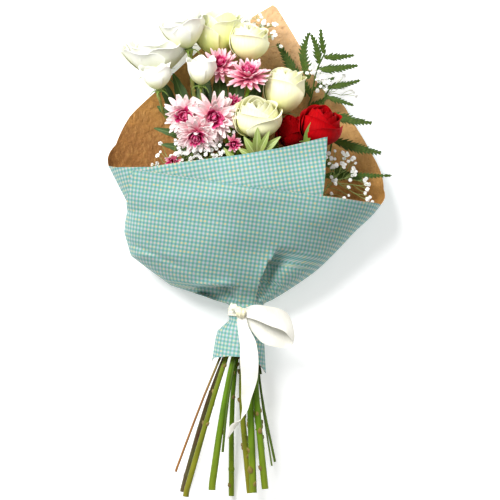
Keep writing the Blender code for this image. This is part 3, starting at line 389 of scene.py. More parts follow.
# %% [markdown]
# ## The paper wrap
# One sheet is wound about one and a quarter turns round the bunch, gathered at the tie and flared below it. It is
# worked out as a surface of two things: the turn round the bunch and the height along it. Tables give the section's
# middle and half width at some heights, and a monotone cubic joins them, because it can't bulge past the neck, where
# the ribbon sits. The real sheet has print on one face only, so its two sides get their own materials.

# %% Tables of the wrap
NECK_LOW, NECK_HIGH, PAPER_NECK = -78.0, -60.0, 16.9
SECTIONS = {  # height: middle x, half width, middle z, half depth
    -124: (-10.5, 26.0, 33.0, 21.5), -98: (-9.5, 24.0, 33.0, 19.5), -89: (-9.5, 21.8, 33.0, 18.4),
    NECK_LOW: (-2.0, PAPER_NECK, 33.0, PAPER_NECK), NECK_HIGH: (-2.0, PAPER_NECK, 33.0, PAPER_NECK),
    -55: (-5.5, 30.5, 34.0, 19.0), -39: (-16.5, 67.0, 36.0, 31.0), -22: (-15.5, 89.0, 39.0, 38.0),
    -6: (-17.0, 107.0, 41.0, 44.0), 20: (-8.0, 122.0, 47.0, 50.0), 43: (5.0, 132.0, 51.5, 54.5),
    60: (6.0, 142.0, 54.0, 57.0), 93: (2.0, 155.0, 55.0, 58.0), 150: (1.0, 163.0, 55.0, 58.0),
    275: (8.0, 170.0, 55.0, 58.0),
}
FLAP_START, FLAP_LAST = 58.0, 503.0
RIM = {  # the height of the upper edge by the turn: 90 is the front, 270 the table
    58: 124.0, 78: 111.5, 94: 104.0, 111: 98.5, 135: 91.0, 160: 91.0, 176: 93.0, 188: 104.0,
    202: 117.0, 216: 148.0, 230: 175.0, 250: 225.0, 264: 251.0, 277: 274.5, 288: 227.0, 296: 187.0,
    301: 173.0, 309: 161.0, 316: 137.0, 326: 109.5, 346: 67.0, 356: 58.0, 364: 50.0, 392: 53.5,
    417: 60.0, 447: 69.0, 472: 79.0, 492: 85.5, 503: 87.5,
}
HEM = {58: -130.0, 90: -116.0, 120: -112.0, 150: -114.0, 180: -117.0, 215: -116.0, 270: -114.0, 320: -122.0,
       345: -134.0, 375: -136.0, 395: -126.0, 420: -118.0, 450: -117.0, 480: -119.0, 503: -124.0}
FLAP_END = {-124: 545.0, 0: 548.0, 20: 544.0, 43: 531.0, 65: 514.0, 88: 503.0}


def straight(entries, at):
    keys = sorted(entries)
    return np.interp(at, keys, [entries[k] for k in keys])


def rounded(entries, at):
    """A monotone cubic: the slope at an entry is the harmonic mean of its two runs, or 0 at a turn."""
    x = np.array(sorted(entries), float)
    y = np.array([entries[k] for k in sorted(entries)], float)
    gap, run = np.diff(x), np.diff(y) / np.diff(x)
    slope = np.zeros(len(x))
    pair = run[:-1] * run[1:]
    slope[1:-1] = np.where(pair > 0, 2 * pair / np.where(pair > 0, run[:-1] + run[1:], 1), 0)
    slope[0], slope[-1] = run[0], run[-1]
    at = np.asarray(at, float)
    k = np.clip(np.searchsorted(x, at) - 1, 0, len(gap) - 1)
    t = (at - x[k]) / gap[k]
    return (y[k] * (2*t**3 - 3*t**2 + 1) + slope[k] * gap[k] * (t**3 - 2*t**2 + t)
            + y[k + 1] * (3*t**2 - 2*t**3) + slope[k + 1] * gap[k] * (t**3 - t**2))


# %% [markdown]
# Paper doesn't stretch, so what is left over at the gathered neck becomes folds: sharp pleats that fade upwards. The
# big ones in the photo, a deep pleat right of the middle and a dent at the lower left, are pressed in by their own
# terms. Both layers of the front get the same push, so they never cut each other.

# %% The surface of the wrap
def smooth(value, low, high):
    """0 below low, 1 above high and an S between them."""
    t = np.clip((value - low) / (high - low), 0, 1)
    return t * t * (3 - 2 * t)


def pleated(y, turn):
    """How far the gathers at the neck move the paper out, in mm: sharp creases |sin| that fade upwards."""
    angle = np.radians(turn)
    waves = np.abs(np.sin(5.5 * angle + 0.4)) + 0.7 * np.abs(np.sin(8.5 * angle + 1.9)) + 0.4 * np.sin(17 * angle)
    above = smooth(y, NECK_HIGH + 1, NECK_HIGH + 12) * np.exp(-np.clip(y - NECK_HIGH, 0, None) / 24)
    below = smooth(-y, -NECK_LOW + 3, -NECK_LOW + 16)
    return -2.2 * above * waves + 0.5 * below * np.sin(5 * angle + 0.6)


def pressed_in(x, y):
    """How deep the front is pushed towards the table, and how far the paper slips under the big pleat, to the left,
    and under the dent's upper edge."""
    ridge = np.interp(-y, [-6, 2, 22, 39, 59], [34.0, 30.0, 17.5, 11.6, 7.2])
    right = x - ridge
    along = smooth(-y, -6, 20) * smooth(y, NECK_HIGH - 1, NECK_HIGH + 24)
    wide = 6 + 0.26 * np.clip(y + 60, 0, 70)
    pocket = smooth(right, 0, 1.6) * np.exp(-(np.clip(right, 0, None) / wide)**1.6)
    depth = 28 * along * pocket - 2.4 * along * np.exp(-(np.clip(-right, 0, None) / 7)**2) * (right < 0.5)
    eave = -40.5 + 0.03 * (x + 38)
    inside = np.exp(-((x + 37) / 21)**4) * smooth(y, -61, -52)
    under = smooth(eave - y, 0, 1.5) * inside
    depth = depth + 19 * under - 2.5 * np.exp(-((y - eave - 3) / 4)**2) * inside
    crease = y - (-6 - 0.45 * (x + 100))
    depth = depth + 1.8 * np.exp(-(crease / 3.0)**2) * smooth(-x, 55, 85)
    fold = y - (2 - 1.1 * (x - 95))
    depth = depth + 1.6 * np.exp(-(fold / 5.0)**2) * smooth(x, 55, 80)
    soft = (np.sin(0.043 * x + 0.051 * y + 1.0) + np.sin(-0.061 * x + 0.034 * y + 2.2)
            + 0.6 * np.sin(0.11 * x + 0.02 * y) + 0.5 * np.sin(0.025 * x - 0.13 * y + 0.5))
    tuck = 7.5 * along * smooth(right, 0, 1.5) * np.exp(-np.clip(right, 0, None) / 5.5)
    return depth + 0.8 * soft * smooth(y, -50, 10), tuck, 6.0 * under * np.exp(-np.clip(eave - y, 0, None) / 5)


def wrap_surface(columns=276, rows=176):
    """x = middle + (half width + layer) cos(turn), z likewise with the depth and sin, never under the table.

    The left edge runs straight between the table's heights, which creases it there, and the right edge is rounded. Where
    the front is pushed in, it stops at the stems that run under it."""
    turns = np.sort([*np.linspace(FLAP_START, FLAP_LAST, columns), 180.0, 180.04, 360.0, 360.04])[None, :]
    t = np.linspace(0, 1, rows)[:, None]
    hem, rim = straight(HEM, turns), straight(RIM, turns)
    y = hem + (rim - hem) * t
    share = (turns - FLAP_START) / (FLAP_LAST - FLAP_START)
    turn = turns + (straight(FLAP_END, y) - FLAP_LAST) * np.clip((share - 0.72) / 0.28, 0, None)
    left = straight({k: v[0] - v[1] for k, v in SECTIONS.items()}, y)
    right = rounded({k: v[0] + v[1] for k, v in SECTIONS.items()}, y)
    middle_x, wide = (left + right) / 2, (right - left) / 2
    middle_z, deep = (rounded({k: v[i] for k, v in SECTIONS.items()}, y) for i in (2, 3))
    loose = straight({NECK_HIGH: 0, -20: 0.5, 40: 1}, y) + straight({-124: 0.6, NECK_LOW: 0}, y)
    layer = (1.7 + 2.6 * loose) * (turn - FLAP_START) / 360 + 2.2 * smooth(share, 0.95, 1.0) * smooth(y, -45, 0)
    angle = np.radians(turn)
    out = layer + pleated(y, turn)
    x, z = middle_x + (wide + out) * np.cos(angle), middle_z + (deep + out) * np.sin(angle)
    depth, tuck, under = pressed_in(x, y)
    front = smooth(np.sin(angle), 0.0, 0.35)
    stems = np.interp(x, [-60, -34, -26, -14, 26, 34, 45], [20, 34, 44, 48, 48, 40, 20]) + 0.14 * (y + 48) + layer
    z = np.maximum(z - depth * front, np.minimum(z, stems))
    return np.stack([x - tuck * front, y + under * front, np.maximum(z, 0.0)], axis=-1), turn


RUNS = ((0, 180.02, 100, 9, -1), (180.02, 360.02, 270, 0, 1), (360.02, 600, 440, -8, -1))


def print_grid(surface, turn, pitch=4.5):
    """Where the print lies. Each run of the winding, front, back and flap, has its own entry in RUNS: from and to which
    turn, the turn of its middle line, the lean of its print and which way x goes. The length round the bunch is counted
    from the middle line, where it starts as that line's x, so that the check stays square there."""
    step = np.zeros(turn.shape)
    step[:, 1:] = np.linalg.norm(np.diff(surface[..., [0, 2]], axis=1), axis=-1)
    length = np.cumsum(step, axis=1)
    grid = np.zeros((*turn.shape, 2))
    for first, last, middle, lean, way in RUNS:
        inside, start = (turn[0] > first) & (turn[0] <= last), np.abs(turn[0] - middle).argmin()
        across = way * (length[:, inside] - length[:, [start]]) + surface[:, [start], 0]
        y, lean = surface[:, inside, 1], np.radians(lean)
        grid[:, inside] = np.stack([across * np.cos(lean) + y * np.sin(lean), y * np.cos(lean) - across * np.sin(lean)], -1)
    return grid / pitch


surface, turn = wrap_surface()
grid_uv = print_grid(surface, turn)
print("wrap", surface.shape, "width", np.ptp(surface[..., 0]).round(1))

# %% [markdown]
# ## The two faces of the paper
# The print is a small check: stripes both ways, deeper where they don't cross, with a pale dot where they do. It is
# drawn from fractions of the sheet's own coordinates, so it bends with the paper and needs no image. The kraft face is
# mottled brown with short fibres.

# %% Finishes for the paper
def band(tree, value, inner, outer):
    """1 within inner of the middle of each cell, 0 past outer."""
    off = maths(tree, "ABSOLUTE", maths(tree, "SUBTRACT", maths(tree, "FRACT", value), 0.5))
    node = tree.nodes.new("ShaderNodeMapRange")
    node.interpolation_type = "SMOOTHSTEP"
    link(tree, off, node.inputs["Value"])
    for label, number in (("From Min", inner), ("From Max", outer), ("To Min", 1.0), ("To Max", 0.0)):
        node.inputs[label].default_value = number
    return node.outputs[0]


def noise(tree, scale, detail=3.0, where=None, stretch=(1, 1, 1)):
    node = tree.nodes.new("ShaderNodeTexNoise")
    node.inputs["Scale"].default_value, node.inputs["Detail"].default_value = scale, detail
    if where is None:
        where = tree.nodes.new("ShaderNodeTexCoord").outputs["Object"]
    mapping = tree.nodes.new("ShaderNodeMapping")
    mapping.inputs["Scale"].default_value = stretch
    link(tree, where, mapping.inputs["Vector"])
    link(tree, mapping.outputs[0], node.inputs["Vector"])
    return node.outputs["Fac"]


def bumped(tree, shader, height, distance, strength=1.0):
    node = tree.nodes.new("ShaderNodeBump")
    node.inputs["Distance"].default_value, node.inputs["Strength"].default_value = distance, strength
    link(tree, height, node.inputs["Height"])
    link(tree, node.outputs[0], shader.inputs["Normal"])


def printed_paper():
    finish, tree, shader = start_finish("printed paper", 0.55, Specular_IOR_Level=0.35)
    where, parts = tree.nodes.new("ShaderNodeUVMap"), tree.nodes.new("ShaderNodeSeparateXYZ")
    where.uv_map = "grown"
    link(tree, where.outputs["UV"], parts.inputs[0])
    u, v = parts.outputs["X"], parts.outputs["Y"]
    one, other = band(tree, u, 0.18, 0.30), band(tree, v, 0.18, 0.30)
    colour = mixed(tree, "MIX", one, (0.120, 0.290, 0.245), (0.200, 0.390, 0.420))
    colour = mixed(tree, "MIX", maths(tree, "MULTIPLY", other, 0.75), colour, (0.220, 0.450, 0.350))
    cell = tree.nodes.new("ShaderNodeCombineXYZ")
    link(tree, maths(tree, "FLOOR", u), cell.inputs["X"])
    link(tree, maths(tree, "FLOOR", v), cell.inputs["Y"])
    draw = tree.nodes.new("ShaderNodeTexWhiteNoise")
    link(tree, cell.outputs[0], draw.inputs["Vector"])
    dots = ramp(tree, [(0.0, (0.68, 0.48, 0.24)), (0.3, (0.58, 0.49, 0.44)), (0.5, (0.49, 0.47, 0.53)),
                       (0.75, (0.57, 0.43, 0.46)), (1.0, (0.49, 0.55, 0.34))], draw.outputs["Value"])
    dot = maths(tree, "MULTIPLY", maths(tree, "MULTIPLY", one, other), 0.82)
    colour = mixed(tree, "MIX", dot, colour, dots)
    worn = ramp(tree, [(0.3, (0.90, 0.90, 0.90)), (0.7, (1.0, 1.0, 1.0))], noise(tree, 14.0))
    link(tree, mixed(tree, "MULTIPLY", 1.0, colour, worn), shader.inputs["Base Color"])
    bumped(tree, shader, noise(tree, 220.0, 4.0), 0.0004, 0.5)
    return finish


def kraft_paper():
    finish, tree, shader = start_finish("kraft paper", 0.72)
    parts = tree.nodes.new("ShaderNodeSeparateXYZ")
    link(tree, tree.nodes.new("ShaderNodeTexCoord").outputs["Object"], parts.inputs[0])
    # Painted light and shade: the brown runs from dark at the lower left of the sheet to light tan at its top and
    # right.
    painted_light_rise = maths(tree, "ADD", maths(tree, "MULTIPLY", parts.outputs["X"], 0.5), parts.outputs["Y"])
    base = ramp(tree, [(0.2, (0.33, 0.140, 0.030)), (0.45, (0.46, 0.225, 0.048)), (0.70, (0.58, 0.330, 0.110)),
                       (0.92, (0.72, 0.450, 0.230))], maths(tree, "MULTIPLY", painted_light_rise, 3.5))
    mottle = ramp(tree, [(0.35, (0.74, 0.72, 0.70)), (0.65, (1.0, 1.0, 1.0))], noise(tree, 70.0, 5.0))
    colour = mixed(tree, "MULTIPLY", 0.8, base, mottle)
    fibre = noise(tree, 300.0, 4.0, stretch=(1.0, 0.45, 1.0))
    flecks = ramp(tree, [(0.52, (0, 0, 0)), (0.68, (0.35, 0.35, 0.35))], fibre)
    colour = mixed(tree, "MIX", flecks, colour, (0.62, 0.33, 0.10))
    dark = ramp(tree, [(0.30, (0.5, 0.5, 0.5)), (0.40, (0, 0, 0))], noise(tree, 420.0, 2.0, stretch=(0.5, 1, 1)))
    link(tree, mixed(tree, "MIX", dark, colour, (0.22, 0.085, 0.02)), shader.inputs["Base Color"])
    crease = maths(tree, "ABSOLUTE", maths(tree, "SUBTRACT", noise(tree, 105.0, 5.0), 0.5))
    height = maths(tree, "ADD", maths(tree, "MULTIPLY", fibre, 0.2), crease)
    bumped(tree, shader, height, 0.0038, 0.8)
    return finish


PRINTED, KRAFT = printed_paper(), kraft_paper()
sheet = Piece()
sheet.blades(surface[None], 0.5, uv=grid_uv[None])
paper = sheet.make("wrap_sheet", PRINTED, "printed_paper", "paper_wrap")
paper.data.materials.append(KRAFT)
side = np.cross(np.gradient(surface, axis=1), np.gradient(surface, axis=0))[..., [0, 2]]
inward_first = (side * np.stack([np.cos(np.radians(turn)), np.sin(np.radians(turn))], -1)).sum() < 0
cells = (surface.shape[0] - 1) * (surface.shape[1] - 1)
kraft = np.ones(len(paper.data.polygons), np.int32)
kraft[cells * inward_first : cells * (1 + inward_first)] = 0
paper.data.polygons.foreach_set("material_index", kraft)
print("printed faces", (kraft == 0).sum(), "kraft faces", kraft.sum())

# %% [markdown]
# ## The ribbon
# A satin ribbon is a sheet, so it is one: a strip carried along a line, with its half width turning as it goes. It is
# soft and thin, has one loop at the right, a short crushed end at the left and a long tail that twists. Satin shines
# across its threads, which a low roughness, some sheen and fine lines across give.

# %% Ribbon lines and finish
LOOP = [((-6, -69, 60), (0, 4, 2)), ((6, -68.5, 66), (-1, 8, 1)), ((24, -73, 73), (-3, 11.5, 2)),
        ((40, -78, 73), (-4, 13, 3)), ((51, -86, 66), (-3, 15, 3)), ((46, -92, 57), (-3, 15, 2)),
        ((31, -94, 54), (-3, 13.5, 1)), ((15, -90, 54.5), (-1, 12.5, 1)), ((4, -82, 55.5), (-1, 9, 1)),
        ((-4, -73, 57), (0, 4, 1))]
TAIL = [((-8, -67, 59), (4, 0, 0)), ((-6, -84, 60), (6, 0, 1)), ((-1, -100, 62), (9, 0, 2)),
        ((1, -124, 63), (10, 1, 2)), ((1, -142, 59), (9, 1, 1)), ((-2, -162, 55), (6, 1, 0)),
        ((-5, -180, 53), (2.2, 0, 2)), ((-10, -189, 53), (0, 1.5, 3)), ((-18, -196, 53), (-1, 3.5, 2)),
        ((-23.5, -204, 53), (-0.5, 5, 0))]
SHORT_END = [((-8, -67, 60.5), (0, 3, 0.5)), ((-12, -65, 60), (1, 3.5, 1)), ((-16, -63, 57.5), (1.5, 3, 2)),
             ((-20, -61.5, 54), (2, 3.5, 1.5))]
KNOT = np.array([-8.0, -69.0, 58.3])


def satin():
    finish, tree, shader = start_finish("cream satin", 0.34, Sheen_Weight=0.15, Sheen_Roughness=0.4)
    where = tree.nodes.new("ShaderNodeUVMap")
    where.uv_map = "grown"
    threads = noise(tree, 1.0, 2.0, where.outputs["UV"], (260.0, 3.0, 1.0))
    colour = ramp(tree, [(0.3, (0.82, 0.80, 0.70)), (0.7, (0.90, 0.88, 0.80))], threads)
    tone = tree.nodes.new("ShaderNodeAttribute")
    tone.attribute_name = "tone"
    # Painted shade: a low tone gives the satin a darker yellowish tint, standing in for the shade in the knot and the
    # gathered band.
    link(tree, mixed(tree, "MIX", tone.outputs["Fac"], (0.78, 0.72, 0.46), colour), shader.inputs["Base Color"])
    bumped(tree, shader, threads, 0.0002, 0.4)
    return finish


def strip(stations, camber=0.06, ripple=0.35, columns=9):
    """A strip: middle(s) + c half(s), bowed along its normal by camber times its width, with a ripple at its edges."""
    middle = curve_through([m for m, _ in stations])
    half = curve_through([h for _, h in stations])
    c = np.linspace(-1, 1, columns)[None, :, None]
    ahead = unit(np.gradient(middle, axis=0))
    up = unit(np.cross(unit(half), ahead))
    run = np.arange(len(middle))[:, None, None]
    width = np.linalg.norm(half, axis=1)[:, None, None]
    lift = camber * width * (1 - c**2) + ripple * np.sin(0.55 * run + 2.5 * c) * c**2
    return middle[:, None] + half[:, None] * c + up[:, None] * lift


SATIN = satin()
ribbon = Piece()
strips = [strip(LOOP, 0.10, 0.5), strip(TAIL, 0.08, 0.45), strip(SHORT_END, 0.3, 1.7)]
far = strips[0][..., 0]
strips[0][..., 0] -= 5 * np.abs(np.linspace(-1, 1, 9))**2.5 * np.exp(-((far - 52) / 10)**2)
around = np.linspace(0, 2 * math.pi, 73)[:, None]
rise = np.linspace(-73, -64.5, 17)[None, :] + 0.8 * np.sin(around * 3)
reach = 19.8 + 1.1 * np.abs(np.sin(rise * 0.9 + 0.7 * np.sin(around * 3))) + 0.25 * np.sin(9 * around + rise)
strips.append(np.stack([TIE[0] + reach * np.cos(around), rise + 0 * around, TIE[2] + reach * np.sin(around)], -1))
wind = np.radians(np.linspace(-40, 330, 40))[:, None]
edge = np.linspace(-1, 1, 9)[None, :]
axis = unit(np.array([0.90, -0.25, 0.10]))
one = unit(np.cross(axis, (0, 0, 1)))
two = np.cross(one, axis)
swell = (5.6 - 1.8 * edge**2 + 0.7 * np.sin(7 * edge + wind * 1.5))[..., None]
ring = np.cos(wind)[..., None] * one + np.sin(wind)[..., None] * two
strips.append(KNOT + (0, 0, 1.5) + axis * (edge * 5.0)[..., None] + swell * ring)
# The tone sets the painted crease shade: none on the loop and tail, some on the short end and the band, most on the
# knot.
for grid, tone in zip(strips, (1.0, 1.0, 0.6, 0.7, 0.15)):
    ribbon.blades(grid[None], 0.5, tone)
ribbon_piece = ribbon.make("satin_ribbon", SATIN, "satin_ribbon", "ribbon")

# %% [markdown]
# ## Stems that follow the solids
# The solids already hold every stem and branch where it clears its neighbours, but as coarse tubes. Rather than guess
# their lines again, the solid is cut at many heights: each cut gives a small loop for each stem, and the middles of the
# loops, joined upwards, are the lines. Along them go rounder stems with swellings, as the real ones have at the scars
# of leaves.

# %% Lines through a solid
def loops_at(points, triangles, height):
    """The separate outlines where a level plane cuts the mesh: cut edges that share a triangle belong together."""
    above = points[:, 1] > height
    crossed = triangles[above[triangles].any(axis=1) & ~above[triangles].all(axis=1)]
    group, spots = {}, {}

    def root(key):
        while group[key] != key:
            key = group[key]
        return key

    for triangle in crossed:
        keys = []
        for p, q in ((triangle[0], triangle[1]), (triangle[1], triangle[2]), (triangle[2], triangle[0])):
            if above[p] != above[q]:
                key = (min(p, q), max(p, q))
                keys.append(key)
                group.setdefault(key, key)
                t = (height - points[p, 1]) / (points[q, 1] - points[p, 1])
                spots[key] = points[p] + t * (points[q] - points[p])
        group[root(keys[0])] = root(keys[1])
    found = {}
    for key in group:
        found.setdefault(root(key), []).append(spots[key])
    return [np.array(loop) for loop in found.values()]


def lines_of(node, top=None, step=5.0, thickest=4.2):
    """Joins the middles of the loops upwards into lines of (x, y, z, radius)."""
    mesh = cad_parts[node].data
    mesh.calc_loop_triangles()
    raw = np.array([v.co for v in mesh.vertices]) / MM - SHIFT
    points, merged = np.unique(raw.round(3), axis=0, return_inverse=True)
    triangles = merged.ravel()[np.array([t.vertices for t in mesh.loop_triangles])]
    bottom, top = points[:, 1].min() + 0.6, top or points[:, 1].max() - 1
    growing, done = [], []
    for height in np.arange(bottom, top, step):
        nearest = []
        for loop in loops_at(points, triangles, height):
            low, high = loop.min(axis=0), loop.max(axis=0)
            wide, deep = (high - low)[[0, 2]]
            if min(wide, deep) / 2 < 0.3 or max(wide, deep) / 2 > thickest * 1.5:
                continue
            nearest.append(np.array([*((low + high) / 2), min(wide, deep) / 2]))
        still = []
        for line in growing:
            if nearest:
                gaps = [np.linalg.norm(spot[:3] - line[-1][:3]) for spot in nearest]
                pick = int(np.argmin(gaps))
                if gaps[pick] < step * 1.7:
                    line.append(nearest.pop(pick))
                    still.append(line)
                    continue
            done.append(line)
        growing = still + [[spot] for spot in nearest]
    kept = [np.array(line) for line in done + growing if len(line) >= 4]
    kept.sort(key=lambda line: line[0, 1])
    for k, line in enumerate(kept[1:], 1):
        main = min(kept[:k], key=lambda other: np.linalg.norm(other[:, :3] - line[0, :3], axis=1).min())
        back = main[np.abs(main[:, 1] - (line[0, 1] - 9)).argmin()].copy()
        back[3] = line[0, 3]
        kept[k] = np.vstack([back, line])
    return kept


def stalk(piece, line, sides=10, scars=5, draw=None, tone=0.5):
    """A stem along the line: its radius is the cuts' middle one, more towards the cut end, with swellings at scars."""
    path = line[:, :3].copy()
    path[1:-1] = 0.5 * path[1:-1] + 0.25 * (path[:-2] + path[2:])
    path = curve_through(path, 4)
    radius = np.median(line[:, 3]) * np.interp(path[:, 1], [-245, -110], [1.62, 1.2])
    for _ in range(scars):
        at, size = draw.uniform(path[0, 1], path[-1, 1]), draw.uniform(0.10, 0.24)
        radius *= 1 + size * np.exp(-((path[:, 1] - at) / 1.8)**2)
    piece.tube(path, radius, sides, tone)
    return path, radius


def knobs(piece, path, radius, count, draw):
    """Brown scars where leaves were stripped off: a low collar on one side of the stem, now and then a stub."""
    for _ in range(count):
        k = draw.integers(3, len(path) - 3)
        ahead = unit(path[k + 1] - path[k - 1])
        out = unit(np.cross(ahead, (draw.normal(), draw.normal(), draw.normal())))
        spot = path[k] + out * radius[k] * 0.55
        size = radius[k] * draw.uniform(0.55, 0.85)
        piece.tube([spot - ahead * size, spot + out * size * 0.6, spot + out * size * draw.uniform(1.0, 1.6) + ahead * size],
                   [size * 0.9, size, size * 0.35], 7, draw.uniform(0, 1))


# %% [markdown]
# ## Roses and lisianthus
# A cupped petal rises on a quarter circle to its belly and then leans in, for the bud, or out, for the outer layers,
# where its lip rolls back. Across the petal the surface bends round the flower's axis, with one edge in front of its
# neighbour, as petals overlap in a spiral. Every petal of a bloom is worked out in one array.

# %% Cupped petals
def cupped(radius, height, layers, draw, rows=14, columns=13):
    """Petals round +Z from rows of (count, reach, tall, spread, lean, lip, ruffle), with the angles in degrees.

    Seen from the side a petal starts outwards, bends upright by its middle, leans by lean and at last turns over by
    lip. Its outline is the sum of small steps (sin, cos) of that angle, scaled to reach times the radius and tall times
    the height. It ends in a point, with rounded corners, and its sides roll back."""
    per = np.concatenate([np.repeat([layer], layer[0], axis=0) for layer in layers])
    order = np.concatenate([np.arange(layer[0]) / layer[0] + 0.38 * k for k, layer in enumerate(layers)])
    n = len(per)
    reach, tall, spread, lean, lip, ruffle = (per[:, [k]] for k in range(1, 7))
    t = np.linspace(0, 1, 80)[None, :]
    bend = (64 * np.clip(1 - t / 0.72, 0, 1)**0.9 + lean * np.clip((t - 0.40) / 0.35, 0, 1)
            + lip * draw.uniform(0.6, 1.3, (n, 1)) * np.clip((t - 0.84) / 0.16, 0, 1)**1.2)
    out, up = np.cumsum(np.sin(np.radians(bend)), axis=1), np.cumsum(np.cos(np.radians(bend)), axis=1)
    out *= reach * radius / out[:, :56].max(axis=1, keepdims=True)
    up *= tall * draw.uniform(0.96, 1.03, (n, 1)) * height / up.max(axis=1, keepdims=True)
    s = (1 - (1 - np.linspace(0, 1, rows))**1.5)[None, :, None]
    c = np.linspace(-1, 1, columns)[None, None, :]
    at = np.broadcast_to(s * (1 - 0.13 * np.abs(c)**1.4 - 0.12 * c**4), (n, rows, columns))
    out = np.stack([np.interp(at[k], t[0], out[k]) for k in range(n)])
    up = np.stack([np.interp(at[k], t[0], up[k]) for k in range(n)])
    ruffle, phase, roll = ruffle[..., None], draw.uniform(0, math.tau, (n, 1, 1)), lip[..., None] / 60
    out = (out * (1 + 0.05 * c) + radius * (0.03 + 0.13 * roll) * np.abs(c)**2.5 * s**4
           + radius * ruffle * np.sin(5 * c + phase) * s**5)
    up = up - height * 0.05 * roll * np.abs(c)**2.5 * s**5 + height * ruffle * 0.5 * np.cos(6.5 * c + phase) * s**6
    turn = (math.tau * order + draw.uniform(-0.12, 0.12, n))[:, None, None]
    angle = turn + c * np.radians(spread)[..., None] * (0.35 + 0.65 * np.sin(math.pi / 2 * np.minimum(s / 0.55, 1)))
    return np.stack([out * np.cos(angle), out * np.sin(angle), up], axis=-1)


ROSE = [(2, 0.26, 1.0, 128, -32, 0, 0.0), (3, 0.44, 1.02, 94, -31, 0, 0.0), (3, 0.64, 1.02, 94, -27, 5, 0.005),
        (3, 0.82, 1.0, 88, -20, 20, 0.01), (3, 0.96, 0.93, 84, -13, 35, 0.015), (2, 1.05, 0.76, 78, -7, 60, 0.02)]
BUD_ROSE = [(2, 0.28, 1.0, 128, -32, 0, 0.0), (3, 0.52, 1.04, 96, -28, 0, 0.0), (3, 0.76, 1.04, 92, -22, 10, 0.005),
            (3, 0.94, 1.0, 88, -14, 30, 0.01), (3, 1.06, 0.88, 84, -8, 45, 0.015)]
WIDE_ROSE = [(3, 0.26, 0.84, 88, -24, 0, 0.02), (4, 0.46, 0.92, 70, -16, 10, 0.03), (5, 0.66, 0.98, 60, -6, 25, 0.04),
             (5, 0.88, 1.0, 58, 0, 40, 0.05), (5, 1.04, 0.90, 56, 6, 55, 0.05)]
CUP = [(3, 0.50, 0.88, 80, -16, 0, 0.03), (4, 0.85, 1.0, 62, -6, 12, 0.05), (5, 1.12, 1.04, 50, 2, 25, 0.06)]
OPEN_CUP = [(4, 0.42, 0.76, 66, -10, 5, 0.06), (5, 0.74, 0.94, 58, 0, 25, 0.08),
            (6, 1.00, 1.04, 52, 8, 40, 0.09), (5, 1.18, 0.94, 56, 14, 50, 0.09)]
BLOOMS = {  # solid: base, axis, radius, height, layers, finish, slot
    "rose_cream_top": ((0.5, 208, 54), (0.02, 0.95, 0.3), 20, 40, BUD_ROSE, CREAM, "cream_petal"),
    "rose_cream_front": ((11, 124, 76), (-0.05, 0.86, 0.50), 25, 44, ROSE, CREAM, "cream_petal"),
    "rose_cream_right": ((37, 149, 56), (0.1, 0.97, 0.22), 21, 50, BUD_ROSE, CREAM, "cream_petal"),
    "rose_cream_wide": ((-34, 213, 33), (-0.06, 0.97, 0.22), 25, 52, WIDE_ROSE, LIME, "cream_petal"),
    "rose_red_inner": ((46.5, 112.5, 54), (0.0, 0.92, 0.4), 16, 37, ROSE, RED, "red_petal"),
    "rose_red_outer": ((74, 115, 77), (0.22, 0.88, 0.42), 22, 44, ROSE, RED, "red_petal"),
    "lisianthus_wide": ((-100, 194, 36), (-0.12, 0.93, 0.33), 28, 45, OPEN_CUP, WHITE, "white_petal"),
    "lisianthus_top": ((-66, 222, 60), (-0.25, 0.93, 0.25), 19, 37, OPEN_CUP, WHITE, "white_petal"),
    "lisianthus_cup": ((-52, 181, 72), (0.02, 0.95, 0.3), 13, 30, CUP, WHITE, "white_petal"),
    "lisianthus_left": ((-99, 176, 74), (-0.12, 0.95, 0.28), 14, 27, CUP, WHITE, "white_petal"),
}
draw = np.random.default_rng(5)
for name, (base, axis, radius, height, layers, finish, slot) in BLOOMS.items():
    bloom = Piece()
    petals = stand(cupped(radius, height, layers, draw), base, axis)
    bloom.blades(petals, 0.42, draw.uniform(0.35, 1.0, len(petals)))
    bloom.make(name + "_bloom", finish, slot, name)

# %% [markdown]
# ## Chrysanthemums
# A chrysanthemum is rings of narrow rays that rise more steeply towards the heart. The outer rays are pale with a
# crimson root, the inner ones crimson all along, so each head is two pieces with two finishes.

# %% Ray petals
MUMS = {  # solid: middle of the base, facing, radius
    "mum_left_upper": ((-69, 149, 72), (-0.1, -0.15, 0.98), 23), "mum_left_front": ((-56, 130, 91), (-0.1, -0.52, 0.85), 24),
    "mum_left_bud": ((-81, 97, 76), (-0.3, -0.1, 0.95), 11), "mum_top_left": ((-31, 201, 60), (0, 0.55, 0.83), 19),
    "mum_middle_upper": ((-38, 147, 83), (0.05, -0.15, 0.98), 26), "mum_middle_bud": ((-18, 160, 64), (0.25, 0.5, 0.83), 12),
    "mum_front_bud": ((-17, 117, 91), (0.15, -0.15, 0.97), 11), "mum_top_right": ((0, 187, 78), (0, 0.8, 0.6), 22),
}
PALE_RINGS = [(15, 1.14, -4), (16, 1.10, 10), (14, 1.0, 24), (12, 0.86, 38)]  # count, length, rise
DEEP_RINGS = [(11, 0.66, 50), (9, 0.50, 64), (7, 0.38, 80)]
BUD_PALE, BUD_DEEP = [(8, 1.1, 26), (8, 1.05, 40)], [(8, 0.92, 54), (6, 0.7, 70)]


